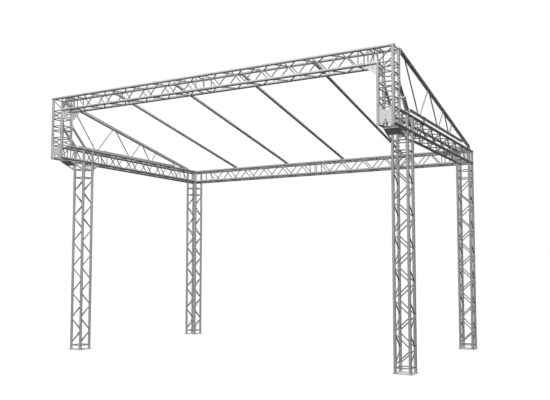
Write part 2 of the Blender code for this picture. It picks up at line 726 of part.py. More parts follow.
def post_plate_outlines():
    """Plate between the front chords: a round notch on top, a hole, and a mouth at the bottom."""
    half = HALF - CHORD_RADIUS - SEAT_GAP
    mouth = POST_MOUTH_WIDTH / 2
    notch = arc((0, POST_PLATE_HEIGHT), POST_NOTCH_RADIUS, 180, 360, 2 * ARC_STEPS)
    left = [(-mouth, 0), (-half, 0), (-half, POST_PLATE_HEIGHT)]
    right = [(half, POST_PLATE_HEIGHT), (half, 0), (mouth, 0), (0, POST_MOUTH_HEIGHT)]
    return [left + notch + right, circle((0, POST_HOLE_HEIGHT), POST_HOLE_RADIUS, ARC_STEPS)]


clear_scene()
PARTS = new_collection("truss_stage_roof")
CUTTERS = new_collection("cutters")
CUTTERS.hide_render = True
ALUMINIUM = metal("truss_aluminium", (0.62, 0.62, 0.62), 0.42)
RAIL_METAL = metal("tube_aluminium", (0.42, 0.42, 0.43), 0.45)
TRACK_METAL = metal("track_aluminium", (0.70, 0.70, 0.71), 0.38)
COUPLER_METAL = metal("coupler_aluminium", (0.50, 0.50, 0.51), 0.40)
PLATE_METAL = metal("plate_aluminium", (0.72, 0.72, 0.72), 0.50)
build_ring()
build_rails()
build_wedges()
build_plates()
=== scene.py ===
"""Looks of the truss stage roof: round tubes, welds, pins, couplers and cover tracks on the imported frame.

Metres, +Z up, in the frame of the CAD part. The roof is built from box-truss modules, so most classes here
make one module in its own frame and put copies of it where the part has that module.
"""

from __future__ import annotations

import logging
import math
import random
from collections.abc import Callable, Iterable, Sequence
from dataclasses import dataclass, field
from enum import Enum
from itertools import product

import bmesh
import bpy
from mathutils import Matrix, Vector

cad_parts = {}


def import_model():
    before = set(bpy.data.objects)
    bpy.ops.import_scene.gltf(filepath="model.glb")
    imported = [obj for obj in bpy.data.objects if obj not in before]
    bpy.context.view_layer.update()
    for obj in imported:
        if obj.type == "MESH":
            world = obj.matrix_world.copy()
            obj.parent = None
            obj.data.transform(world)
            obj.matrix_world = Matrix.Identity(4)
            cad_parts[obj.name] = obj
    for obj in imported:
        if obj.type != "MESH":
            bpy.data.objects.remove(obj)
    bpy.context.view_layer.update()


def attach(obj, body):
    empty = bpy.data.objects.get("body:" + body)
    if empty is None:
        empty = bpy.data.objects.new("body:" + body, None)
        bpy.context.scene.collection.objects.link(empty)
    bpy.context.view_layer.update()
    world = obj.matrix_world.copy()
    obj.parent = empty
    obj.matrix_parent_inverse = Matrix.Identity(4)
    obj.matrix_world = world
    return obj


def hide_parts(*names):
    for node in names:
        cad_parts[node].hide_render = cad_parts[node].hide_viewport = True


LOG = logging.getLogger("truss_stage_roof")

X_AXIS = Vector((1.0, 0.0, 0.0))
Y_AXIS = Vector((0.0, 1.0, 0.0))
Z_AXIS = Vector((0.0, 0.0, 1.0))
ORIGIN = (0.0, 0.0, 0.0)
ROOT = "root"

SEAT_GAP = 0.0003
CLAMP_BORE = 0.0262
CLAMP_WIDTH = 0.024

# Sizes of the bevels on edges
TUBE_EDGE = 0.002
FORGED_EDGE = 0.0015
PLATE_EDGE = 0.0012
SMALL_EDGE = 0.001
BOLT_EDGE = 0.0008

# Flats around round shapes
WIDE_SIDES = 28
HOLE_SIDES = 20
KNOB_SIDES = 16
ROD_SIDES = 14
PIN_SIDES = 10
HEXAGON = 6

SHARP_DEGREES = 40.0
PLATE_SHARP_DEGREES = 30.0

# Closer than these, directions count as parallel and points as one
PARALLEL = 1e-6
MERGE_DISTANCE = 0.00001

# Loops of a weld bead: how far each lies outside the lacing tube, and how far above the chord's surface
BEAD = ((-0.002, -0.003), (0.0, 0.0046), (0.0032, 0.0030), (0.0052, -0.0015))

# Patterns of the metal finishes
GRAIN_SHIFT = 9.0
GRAIN_STRETCH = (420.0, 420.0, 5.0)
GRIT_SCALE = 260.0
RIPPLE_SCALE = 90.0
PATTERN_SEED = 7
PATTERN_MEAN = 0.5
PATTERN_CONTRAST = 1.6
MOTTLE_ON_ROUGHNESS = 0.22
STREAK_ON_ROUGHNESS = 0.20
GRIT_HEIGHT = 0.5
BUMP_DEPTH = 0.001

Point = tuple[float, float]
Place = Vector | tuple[float, float, float]
Vert = bmesh.types.BMVert
Mesh = bpy.types.Mesh


class Side(Enum):
    """The two halves of the roof, as the audience sees them."""

    LEFT = -1
    RIGHT = 1

    @property
    def label(self) -> str:
        """Word used in the names of nodes and pieces."""
        return self.name.lower()


@dataclass(frozen=True)
class Truss:
    """Section of the box truss and the rules of its lacing."""

    spacing: float = 0.240
    chord_radius: float = 0.025
    brace_radius: float = 0.0100
    brace_sink: float = 0.008
    cap_inset: float = 0.001
    pitch: float = 0.252
    margin: float = 0.112
    node_spread: float = 0.015
    end_tie: float = 0.080
    gap: float = SEAT_GAP

    @property
    def half(self) -> float:
        """Distance from the middle of the section to a chord's axis, along each side."""
        return self.spacing / 2

    @property
    def outer(self) -> float:
        """Half of the section's full width."""
        return self.half + self.chord_radius

    @property
    def cap(self) -> float:
        """How far a chord in a corner runs past the axis of the one it meets."""
        return self.chord_radius - self.cap_inset


@dataclass(frozen=True)
class Layout:
    """Where the modules stand. The heights and depths are those of the part."""

    truss: Truss = field(default_factory=Truss)
    beam: float = 3.000
    tower: float = 3.490
    elbow: float = 0.355
    tee_front: float = 0.250
    tee_rear: float = 0.460
    spacer: float = 0.210
    base_side: float = 0.320
    base_thickness: float = 0.010
    front_y: float = -1.6125
    rail_x: tuple[tuple[str, float], ...] = (
        ("far_left", -2.105),
        ("mid_left", -0.715),
        ("mid_right", 0.690),
        ("far_right", 2.056),
    )
    rail_lift: float = 0.052

    @property
    def tower_x(self) -> float:
        """Distance of the towers from the middle of the stage."""
        return self.beam + self.elbow

    @property
    def rear_y(self) -> float:
        """Line of the rear towers."""
        return self.front_y + self.tee_rear + self.beam + self.elbow

    @property
    def rows(self) -> tuple[tuple[str, float], ...]:
        """Name and line of each row of towers."""
        return ("front", self.front_y), ("rear", self.rear_y)

    @property
    def post_y(self) -> float:
        """Line of the posts that carry the front beam."""
        return self.front_y - self.elbow - self.tee_front

    @property
    def ring_z(self) -> float:
        """Height of the ring's axis."""
        return self.base_thickness + self.tower + self.elbow

    @property
    def beam_z(self) -> float:
        """Height of the front beam's axis."""
        return self.ring_z + 2 * self.elbow + self.spacer

    @property
    def hinge(self) -> Vector:
        """Point on the chord that the roof rails turn about, in the middle of the stage."""
        return Vector((0, self.post_y + self.truss.half, self.beam_z + self.truss.half))

    @property
    def rear_chord(self) -> Vector:
        """Point on the chord that the rails rest on."""
        return Vector((0, self.rear_y - self.truss.half, self.ring_z + self.truss.half))

    @property
    def rail_slope(self) -> float:
        """Angle of the rails, negative because they fall to the rear."""
        span = self.rear_chord - self.hinge
        return math.atan2(span.z, span.y) + math.asin(self.rail_lift / span.length)

    @property
    def rail_run(self) -> float:
        """Distance along a rail from its hinge to the middle of its saddle."""
        return math.sqrt((self.rear_chord - self.hinge).length ** 2 - self.rail_lift**2)


def axes_frame(x: Vector, y: Vector, z: Vector, place: Place = ORIGIN) -> Matrix:
    """Returns: a frame at place whose axes run along three given directions."""
    return Matrix.Translation(place) @ Matrix((x, y, z)).transposed().to_4x4()


def turned(place: Place, x: float = 0.0, y: float = 0.0, z: float = 0.0) -> Matrix:
    """Returns: a frame at place, turned by angles in degrees about X, then Y, then Z."""
    turn = Matrix.Rotation(math.radians(z), 4, "Z") @ Matrix.Rotation(math.radians(y), 4, "Y")
    return Matrix.Translation(place) @ turn @ Matrix.Rotation(math.radians(x), 4, "X")


def arc(centre: Point, radius: float, start: float, end: float, steps: int) -> list[Point]:
    """Points on a circle.

    Args:
        centre: its middle.
        radius: its radius.
        start: first angle in degrees.
        end: last angle in degrees.
        steps: number of steps between them.

    Returns:
        The points, ends included.
    """
    angles = [math.radians(start + (end - start) * step / steps) for step in range(steps + 1)]
    return [(centre[0] + radius * math.cos(a), centre[1] + radius * math.sin(a)) for a in angles]


def hole(centre: Point, radius: float) -> list[Point]:
    """Returns: the outline of a round hole."""
    return arc(centre, radius, 0, 360, HOLE_SIDES)[:-1]


class Socket:
    """A node socket that takes part in Python arithmetic by adding Math nodes."""

    def __init__(self, tree: Tree, socket: bpy.types.NodeSocket) -> None:
        """Wraps a socket.

        Args:
            tree: the material's node tree helper.
            socket: an output socket that carries a value.
        """
        self.tree = tree
        self.socket = socket

    def _math(self, operation: str, first: Value, second: Value) -> Socket:
        """Returns: the result of one Math node."""
        return self.tree.node("ShaderNodeMath", {"operation": operation}, {0: first, 1: second})

    def __add__(self, other: Value) -> Socket:
        """Returns: the sum."""
        return self._math("ADD", self, other)

    def __radd__(self, other: Value) -> Socket:
        """Returns: the sum, reflected."""
        return self._math("ADD", other, self)

    def __sub__(self, other: Value) -> Socket:
        """Returns: the difference."""
        return self._math("SUBTRACT", self, other)

    def __rsub__(self, other: Value) -> Socket:
        """Returns: the difference, reflected."""
        return self._math("SUBTRACT", other, self)

    def __mul__(self, other: Value) -> Socket:
        """Returns: the product."""
        return self._math("MULTIPLY", self, other)

    def __rmul__(self, other: Value) -> Socket:
        """Returns: the product, reflected."""
        return self._math("MULTIPLY", other, self)

    def highest(self, other: Value) -> Socket:
        """Returns: the larger of two values."""
        return self._math("MAXIMUM", self, other)


Value = Socket | float | tuple[float, ...]


class Tree:
    """Builds the nodes of one material or world."""

    def __init__(self, owner: bpy.types.Material | bpy.types.World) -> None:
        """Turns the owner's nodes on.

        Args:
            owner: the material or world whose tree is filled.
        """
        owner.use_nodes = True
        self.tree = owner.node_tree

    def feed(self, node: bpy.types.Node, values: dict[int | str, Value]) -> None:
        """Fills inputs of a node.

        Args:
            node: the node.
            values: a number or colour to set, or a socket to link, for each input.
        """
        for name, value in values.items():
            if isinstance(value, Socket):
                self.tree.links.new(value.socket, node.inputs[name])
            else:
                node.inputs[name].default_value = value

    def node(
        self,
        kind: str,
        settings: dict[str, object],
        values: dict[int | str, Value],
        output: int | str = 0,
    ) -> Socket:
        """Adds a node.

        Args:
            kind: the node's type name.
            settings: its own settings, which are made first.
            values: numbers, colours or sockets for its inputs.
            output: which output is wanted.

        Returns:
            The wanted output.
        """
        made = self.tree.nodes.new(kind)
        for name, setting in settings.items():
            setattr(made, name, setting)
        self.feed(made, values)
        return Socket(self, made.outputs[output])

    def mix(self, factor: Value, first: Value, second: Value) -> Socket:
        """Returns: the colour between first and second."""
        values = {"Factor": factor, 6: first, 7: second}
        return self.node("ShaderNodeMix", {"data_type": "RGBA"}, values, output=2)


@dataclass(frozen=True)
class Metal:
    """A metal finish: drawn or rolled aluminium, weld, or plated steel.

    Streaks and scratches run along the tube where the piece carries a grain, which is its place in the
    tube's own frame, and otherwise follow the object's Z.
    """

    name: str
    slot: str
    tone: tuple[float, float, float]
    worn: tuple[float, float, float]
    roughness: float
    metallic: float = 0.01
    follows_grain: bool = True
    streaks: float = 0.5
    mottle_size: float = 14.0
    bump: float = 0.05
    ripple: float = 0.0
    sheen: float = 0.03

    def material(self) -> bpy.types.Material:
        """Makes the material, or finds it by its name.

        Returns:
            The material.
        """
        known = bpy.data.materials.get(self.name)
        if known:
            return known
        material = bpy.data.materials.new(self.name)
        tree = Tree(material)
        place = self._place(tree)
        long_grain = tree.node("ShaderNodeMapping", {}, {"Vector": place, "Scale": GRAIN_STRETCH})
        mottle = self._noise(tree, place, self.mottle_size, detail=4.0, roughness=0.6)
        streak = self._noise(tree, long_grain, 1.0, detail=3.0)
        grit = self._noise(tree, place, GRIT_SCALE, detail=2.0)
        spots, lines = mottle - PATTERN_MEAN, streak - PATTERN_MEAN
        on_spots, on_lines = PATTERN_CONTRAST * (1 - self.streaks), PATTERN_CONTRAST * self.streaks
        blend = spots * on_spots + lines * on_lines + PATTERN_MEAN
        rough = spots * MOTTLE_ON_ROUGHNESS + lines * (STREAK_ON_ROUGHNESS * self.streaks)
        height = streak * self.streaks + grit * GRIT_HEIGHT
        if self.ripple:
            wave = {"Vector": place, "Scale": RIPPLE_SCALE, "Distortion": 2.5}
            height = height + tree.node("ShaderNodeTexWave", {"bands_direction": "X"}, wave) * self.ripple
        bump = {"Strength": self.bump, "Distance": BUMP_DEPTH, "Height": height}
        inputs = {
            "Base Color": tree.mix(blend, (*self.tone, 1.0), (*self.worn, 1.0)),
            "Roughness": rough + self.roughness,
            "Normal": tree.node("ShaderNodeBump", {}, bump),
            "Metallic": self.metallic,
            "Specular IOR Level": self.sheen,
        }
        tree.feed(material.node_tree.nodes["Principled BSDF"], inputs)
        return material

    def _place(self, tree: Tree) -> Socket:
        """Chooses the coordinates that the pattern reads.

        Args:
            tree: the material's tree.

        Returns:
            The coordinates.
        """
        if self.follows_grain:
            return tree.node("ShaderNodeAttribute", {"attribute_name": "grain"}, {}, output="Vector")
        return tree.node("ShaderNodeTexCoord", {}, {}, output="Object")

    @staticmethod
    def _noise(tree: Tree, place: Socket, scale: float, detail: float, roughness: float = 0.5) -> Socket:
        """A noise texture.

        Args:
            tree: the material's tree.
            place: its coordinates.
            scale: spots in a metre.
            detail: octaves.
            roughness: strength of each octave against the one before.

        Returns:
            The noise's level, 0 to 1.
        """
        values = {"Vector": place, "Scale": scale, "Detail": detail, "Roughness": roughness}
        return tree.node("ShaderNodeTexNoise", {}, values)


class Finish(Enum):
    """The finishes on the roof."""

    CHORD = Metal("chord_tube", "truss", (0.49, 0.49, 0.50), (0.63, 0.63, 0.64), 0.42)
    LACING = Metal("lacing_tube", "truss", (0.29, 0.29, 0.30), (0.42, 0.42, 0.43), 0.45)
    BAR = Metal("frame_bar", "tube", (0.44, 0.44, 0.45), (0.58, 0.58, 0.59), 0.45)
    WELD = Metal(
        "weld_bead", "truss", (0.38, 0.38, 0.38), (0.54, 0.54, 0.54), 0.52,
        streaks=0.2, mottle_size=60.0, bump=0.35, ripple=0.8,
    )
    RAIL = Metal("rail_tube", "tube", (0.65, 0.65, 0.655), (0.78, 0.78, 0.79), 0.45)
    TRACK = Metal("cover_track", "track", (0.66, 0.66, 0.67), (0.79, 0.79, 0.80), 0.38)
    PLATE = Metal(
        "rolled_plate", "plate", (0.74, 0.74, 0.75), (0.84, 0.84, 0.85), 0.48,
        follows_grain=False, streaks=0.35, mottle_size=22.0,
    )
    COUPLER = Metal(
        "forged_coupler", "coupler", (0.30, 0.30, 0.31), (0.42, 0.42, 0.43), 0.42,
        metallic=0.02, follows_grain=False, streaks=0.1, mottle_size=70.0, bump=0.2,
    )
    STEEL = Metal(
        "plated_steel", "coupler", (0.07, 0.07, 0.075), (0.14, 0.14, 0.145), 0.40,
        metallic=0.05, follows_grain=False, streaks=0.2, mottle_size=90.0,
    )


class Shop:
    """Builds one mesh from tubes, welds, rings and blocks, in the module's own frame."""

    def __init__(self, *finishes: Finish) -> None:
        """Starts an empty mesh.

        Args:
            finishes: the finishes on this piece, in the order of its material slots.
        """
        self.finishes = finishes
        self.mesh = bmesh.new()
        self.grain = self.mesh.verts.layers.float_vector.new("grain")
        self.random = random.Random(PATTERN_SEED)

    def _settle(
        self, verts: Iterable[Vert], frame: Matrix, finish: Finish, smooth: bool
    ) -> None:
        """Gives new vertices their grain, finish and place.

        Args:
            verts: vertices made in the piece's local frame.
            frame: from that frame to the module's.
            finish: the finish of their faces.
            smooth: whether the faces are shaded smooth.
        """
        shift = Vector([self.random.uniform(-GRAIN_SHIFT, GRAIN_SHIFT) for _ in range(3)])
        slot = self.finishes.index(finish)
        for vert in verts:
            vert[self.grain] = vert.co + shift
            vert.co = frame @ vert.co
            for face in vert.link_faces:
                face.material_index = slot
                face.smooth = smooth

    def _outward(self, verts: Iterable[Vert]) -> None:
        """Turns the faces on these vertices outward."""
        bmesh.ops.recalc_face_normals(self.mesh, faces=list({f for v in verts for f in v.link_faces}))

    def _fresh(self, before: set[Vert]) -> list[Vert]:
        """Returns: the vertices that were not there before."""
        return [vert for vert in self.mesh.verts if vert not in before]

    def _bevel(self, edges: set[bmesh.types.BMEdge], size: float) -> set[Vert]:
        """Rounds edges.

        Args:
            edges: the edges.
            size: how far the bevel reaches from each.

        Returns:
            The vertices of the new faces.
        """
        made = bmesh.ops.bevel(
            self.mesh, geom=list(edges), offset=size, segments=2, profile=0.5, affect="EDGES", material=-1
        )
        return set(made["verts"])

    @staticmethod
    def _frame(start: Vector, end: Vector, normal: Vector) -> Matrix:
        """A frame along a line.

        Args:
            start: its origin.
            end: where its Z points.
            normal: where its X leans.

        Returns:
            The frame.
        """
        along = (end - start).normalized()
        side = normal - along * normal.dot(along)
        if side.length < PARALLEL:
            side = along.orthogonal()
        side.normalize()
        return axes_frame(side, along.cross(side), along, start)

    def _cylinder(self, length: float, radius: float, sides: int) -> list[Vert]:
        """Makes a closed cylinder that stands on the origin.

        Args:
            length: its height.
            radius: its radius.
            sides: number of flats around it.

        Returns:
            Its vertices.
        """
        made = bmesh.ops.create_cone(
            self.mesh,
            cap_ends=True,
            segments=sides,
            radius1=radius,
            radius2=radius,
            depth=length,
            matrix=Matrix.Translation((0, 0, length / 2)),
        )
        return made["verts"]

    def tube(
        self,
        start: Place,
        end: Place,
        radius: float,
        finish: Finish,
        sides: int = WIDE_SIDES,
        rounded: float = 0.0,
    ) -> None:
        """A round tube or rod with closed ends.

        Args:
            start: middle of the first end.
            end: middle of the other end.
            radius: outside radius.
            finish: its finish.
            sides: number of flats around it.
            rounded: size of the bevel around both ends.
        """
        start, end = Vector(start), Vector(end)
        verts = self._cylinder((end - start).length, radius, sides)
        if rounded:
            caps = {face for vert in verts for face in vert.link_faces if len(face.verts) > 4}
            new = self._bevel({edge for face in caps for edge in face.edges}, rounded)
            verts = list(new | {vert for vert in verts if vert.is_valid})
        self._settle(verts, self._frame(start, end, X_AXIS), finish, True)
        for face in {face for vert in verts for face in vert.link_faces if len(face.verts) > 4}:
            face.smooth = False

    def cut_tube(self, tip: Vector, end: Vector, cut: Vector, radius: float, finish: Finish) -> None:
        """Half of a tube whose first end is cut at a slant.

        Args:
            tip: middle of the slanted end.
            end: middle of the square end, which runs a little past it.
            cut: what the slanted end is square to.
            radius: outside radius.
            finish: its finish.
        """
        overlap = 0.004
        frame = self._frame(tip, end, cut)
        length = (end - tip).length + overlap
        local = frame.to_3x3().inverted() @ cut
        verts = self._cylinder(length, radius, WIDE_SIDES)
        for vert in verts:
            if vert.co.z < length / 2:
                vert.co.z = -(vert.co.x * local.x + vert.co.y * local.y) / local.z
        self._settle(verts, frame, finish, True)

    def bolt(self, foot: Vector, axis: Vector, size: Point) -> None:
        """A hexagonal bolt head.

        Args:
            foot: middle of its underside.
            axis: the way it points.
            size: half of its width across the corners, and its height.
        """
        radius, height = size
        self.tube(foot, foot + axis * height, radius, Finish.STEEL, HEXAGON)

    def ring(self, centre: Place, axis: Vector, radius: float, section: Point, finish: Finish) -> None:
        """A flat-sided ring around an axis.

        Args:
            centre: its middle.
            axis: the direction it turns about.
            radius: its inner radius.
            section: its thickness outwards, and its width along the axis.
            finish: its finish.
        """
        centre, outside, high = Vector(centre), radius + section[0], section[1] / 2
        places = [(radius, -high), (outside, -high), (outside, high), (radius, high)]
        before = set(self.mesh.verts)
        corners = [self.mesh.verts.new((x, 0, z)) for x, z in places]
        edges = [self.mesh.edges.new((corners[index - 1], corners[index])) for index in range(len(corners))]
        bmesh.ops.spin(
            self.mesh,
            geom=corners + edges,
            cent=ORIGIN,
            axis=Z_AXIS,
            angle=math.tau,
            steps=WIDE_SIDES,
            use_merge=True,
        )
        verts = self._fresh(before)
        self._outward(verts)
        frame = self._frame(centre, centre + axis, Y_AXIS if axis == X_AXIS else X_AXIS)
        self._settle(verts, frame, finish, True)

    def block(
        self, low: Place, high: Place, finish: Finish, rounded: float, frame: Matrix | None = None
    ) -> None:
        """A block with softened edges.

        Args:
            low: its lowest corner.
            high: its highest corner.
            finish: its finish.
            rounded: size of the bevel on its edges.
            frame: turns the block, if given.
        """
        low, high = Vector(low), Vector(high)
        matrix = Matrix.Translation((low + high) / 2) @ Matrix.Diagonal((*(high - low), 1))
        verts = bmesh.ops.create_cube(self.mesh, size=1, matrix=matrix)["verts"]
        if rounded:
            verts = self._bevel({edge for vert in verts for edge in vert.link_edges}, rounded)
        self._settle(verts, frame or Matrix.Identity(4), finish, False)

    def weld(self, foot: Vector, along: Vector, chord: Vector, radius: float, chord_radius: float) -> None:
        """A bead around a lacing tube where it meets a chord.

        Args:
            foot: where the lacing tube's axis crosses the chord's axis.
            along: direction of the lacing tube, away from the chord.
            chord: direction of the chord.
            radius: the lacing tube's radius.
            chord_radius: the chord's radius.
        """
        frame = self._frame(foot, foot + along, chord)
        local = frame.to_3x3().inverted() @ chord
        first = bmesh.ops.create_circle(
            self.mesh, cap_ends=False, segments=ROD_SIDES, radius=radius + BEAD[0][0]
        )
        loops = [first["verts"]]
        for spread, _ in BEAD[1:]:
            out = bmesh.ops.extrude_edge_only(self.mesh, edges=self._rim(loops[-1]))
            loops.append(self._verts_of(out["geom"]))
            for vert in loops[-1]:
                vert.co = vert.co.normalized() * (radius + spread)
        for loop, (_, rise) in zip(loops, BEAD):
            for vert in loop:
                vert.co.z = self._on_chord(vert.co, local, chord_radius) + rise
        bmesh.ops.bridge_loops(self.mesh, edges=self._rim(loops[0]) + self._rim(loops[-1]))
        verts = [vert for loop in loops for vert in loop]
        self._outward(verts)
        self._settle(verts, frame, Finish.WELD, True)

    @staticmethod
    def _verts_of(geometry: Iterable[object]) -> list[Vert]:
        """Returns: the vertices among mixed geometry."""
        return [item for item in geometry if isinstance(item, Vert)]

    @staticmethod
    def _rim(verts: Sequence[Vert]) -> list[bmesh.types.BMEdge]:
        """Returns: the edges between these vertices."""
        inside = set(verts)
        return list({edge for vert in verts for edge in vert.link_edges if set(edge.verts) <= inside})

    @staticmethod
    def _on_chord(point: Vector, chord: Vector, radius: float) -> float:
        """Where a line beside the lacing tube's axis meets the chord's surface.

        Args:
            point: where the line stands, in the tube's frame.
            chord: the chord's direction in that frame, through its origin.
            radius: the chord's radius.

        Returns:
            The height along the lacing tube.
        """
        flat = Vector((point.x, point.y, 0))
        rise = Z_AXIS - chord * chord.z
        base = flat - chord * flat.dot(chord)
        a = rise.length_squared
        b = 2 * base.dot(rise)
        c = base.length_squared - radius**2
        return (-b + math.sqrt(max(b * b - 4 * a * c, 0.0))) / (2 * a)

    def prism(
        self, outline: Sequence[Point], start: float, end: float, frame: Matrix, finish: Finish
    ) -> None:
        """An outline pushed along Z.

        Args:
            outline: its corners in order.
            start: height of the first end.
            end: height of the other end.
            frame: from the outline's frame to the module's.
            finish: its finish.
        """
        corners = [self.mesh.verts.new((x, y, start)) for x, y in outline]
        face = self.mesh.faces.new(corners)
        fresh = self._verts_of(bmesh.ops.extrude_face_region(self.mesh, geom=[face])["geom"])
        for vert in fresh:
            vert.co.z = end
        verts = corners + fresh
        self._outward(verts)
        self._settle(verts, frame, finish, False)

    def plate(
        self, outlines: Sequence[Sequence[Point]], thickness: float, frame: Matrix, finish: Finish
    ) -> None:
        """A flat plate: the first outline is its edge and the others are holes.

        Args:
            outlines: corners of each outline.
            thickness: its full thickness.
            frame: from the outline's frame to the module's.
            finish: its finish.
        """
        curve = bpy.data.curves.new("plate_outline", "CURVE")
        curve.dimensions = "2D"
        curve.fill_mode = "BOTH"
        curve.extrude = thickness / 2
        for outline in outlines:
            spline = curve.splines.new("POLY")
            spline.points.add(len(outline) - 1)
            for point, (x, y) in zip(spline.points, outline):
                point.co = (x, y, 0, 1)
            spline.use_cyclic_u = True
        holder = bpy.data.objects.new("plate_outline", curve)
        bpy.context.scene.collection.objects.link(holder)
        bpy.context.view_layer.update()
        data = bpy.data.meshes.new_from_object(holder.evaluated_get(bpy.context.evaluated_depsgraph_get()))
        bpy.data.objects.remove(holder, do_unlink=True)
        before = set(self.mesh.verts)
        self.mesh.from_mesh(data)
        bpy.data.meshes.remove(data)
        bmesh.ops.remove_doubles(self.mesh, verts=self._fresh(before), dist=MERGE_DISTANCE)
        verts = self._fresh(before)
        self._outward(verts)
        self._settle(verts, frame, finish, False)

    def finish(self, name: str, sharp: float = SHARP_DEGREES) -> Mesh:
        """Ends the work on the mesh.

        Args:
            name: its name.
            sharp: angle in degrees past which an edge is sharp.

        Returns:
            The mesh, with its material slots.
        """
        data = bpy.data.meshes.new(name)
        self.mesh.to_mesh(data)
        self.mesh.free()
        for finish in self.finishes:
            data.materials.append(finish.value.material())
        data.set_sharp_from_angle(angle=math.radians(sharp))
        return data


def set_piece(
    name: str, data: Mesh, place: Matrix, nodes: Sequence[str] = (), body: str = ROOT
) -> None:
    """Puts a copy of a mesh in the scene as a piece.

    Args:
        name: the piece's name.
        data: its mesh in the module's frame.
        place: from that frame to the part's.
        nodes: the CAD nodes it stands for.
        body: the body it rides on.
    """
    mesh = data.copy()
    mesh.name = name
    mesh.transform(place)
    piece = bpy.data.objects.new(name, mesh)
    bpy.context.scene.collection.objects.link(piece)
    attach(piece, body)
    if nodes:
        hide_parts(*nodes)
    LOG.info("%s on %s, %d faces", name, body, len(mesh.polygons))


@dataclass
class Lacing:
    """Adds chords, lacing tubes and their welds to a shop."""

    shop: Shop
    truss: Truss

    def chord(self, start: Place, end: Place) -> None:
        """A chord tube from start to end."""
        self.shop.tube(start, end, self.truss.chord_radius, Finish.CHORD)

    def four_chords(self, length: float) -> None:
        """The chords of a straight module along Z.

        Args:
            length: the module's length.
        """
        half, gap = self.truss.half, self.truss.gap / 2
        for x, y in product((-half, half), repeat=2):
            self.chord((x, y, gap), (x, y, length - gap))

    def tie(self, start: Place, end: Place, run: Vector, chord: Vector) -> None:
        """A lacing tube between two chord axes.

        Args:
            start: on the first chord's axis.
            end: on the other chord's axis.
            run: the way straight across from chord to chord.
            chord: the chords' direction.
        """
        truss, first, last = self.truss, Vector(start), Vector(end)
        along = (last - first).normalized()
        inside = along * (truss.chord_radius - truss.brace_sink) / abs(along.dot(run))
        self.shop.tube(first + inside, last - inside, truss.brace_radius, Finish.LACING, ROD_SIDES)
        for foot, way in ((first, along), (last, -along)):
            self.shop.weld(foot, way, chord, truss.brace_radius, truss.chord_radius)

    def across(self, middle: Place, run: Vector, chord: Vector) -> None:
        """A lacing tube straight across.

        Args:
            middle: its middle.
            run: the way from chord to chord.
            chord: the chords' direction.
        """
        reach = run * self.truss.half
        self.tie(Vector(middle) - reach, Vector(middle) + reach, run, chord)

    def zigzag(self, length: float, face: Vector, run: Vector, first_side: int) -> None:
        """Zigzag and end ties on the two faces square to one direction.

        Args:
            length: the module's length along Z.
            face: the faces' normal.
            run: the way across from chord to chord.
            first_side: the side on which the zigzag begins.
        """
        truss, half = self.truss, self.truss.half
        count = round((length - 2 * truss.margin) / truss.pitch)
        pitch = (length - 2 * truss.margin) / count
        for sign in (-1, 1):
            edge = face * half * sign
            for index in range(count):
                side = run * half * (first_side if index % 2 == 0 else -first_side)
                low = truss.margin + pitch * index + truss.node_spread
                high = truss.margin + pitch * (index + 1) - truss.node_spread
                self.tie(edge + side + Z_AXIS * low, edge - side + Z_AXIS * high, run, Z_AXIS)
            for height in (truss.end_tie, length - truss.end_tie):
                self.across(edge + Z_AXIS * height, run, Z_AXIS)


@dataclass
class Module:
    """One kind of truss module, made in its own frame."""

    truss: Truss
    length: float

    def build(self, name: str) -> Mesh:
        """Makes the module.

        Args:
            name: its mesh's name.

        Returns:
            The mesh.
        """
        shop = Shop(Finish.CHORD, Finish.LACING, Finish.WELD)
        self.fill(Lacing(shop, self.truss))
        return shop.finish(name)

    def fill(self, lacing: Lacing) -> None:
        """Adds the module's chords and lacing."""
        raise NotImplementedError


@dataclass
class StraightModule(Module):
    """A straight length of box truss along +Z."""

    start_on_y: int
    start_on_x: int

    def fill(self, lacing: Lacing) -> None:
        """Four chords with a zigzag on each face.

        Args:
            lacing: takes the tubes.
        """
        lacing.four_chords(self.length)
        lacing.zigzag(self.length, Y_AXIS, X_AXIS, self.start_on_y)
        lacing.zigzag(self.length, X_AXIS, Y_AXIS, self.start_on_x)


@dataclass
class SpacerModule(Module):
    """The short straight piece in the middle of a post."""

    tie_at: float = 0.063

    def fill(self, lacing: Lacing) -> None:
        """Four chords with two ties on each face.

        Args:
            lacing: takes the tubes.
        """
        half = self.truss.half
        lacing.four_chords(self.length)
        for height, side in product((self.tie_at, self.length - self.tie_at), (-half, half)):
            lacing.across((0, side, height), X_AXIS, Z_AXIS)
            lacing.across((side, 0, height), Y_AXIS, Z_AXIS)


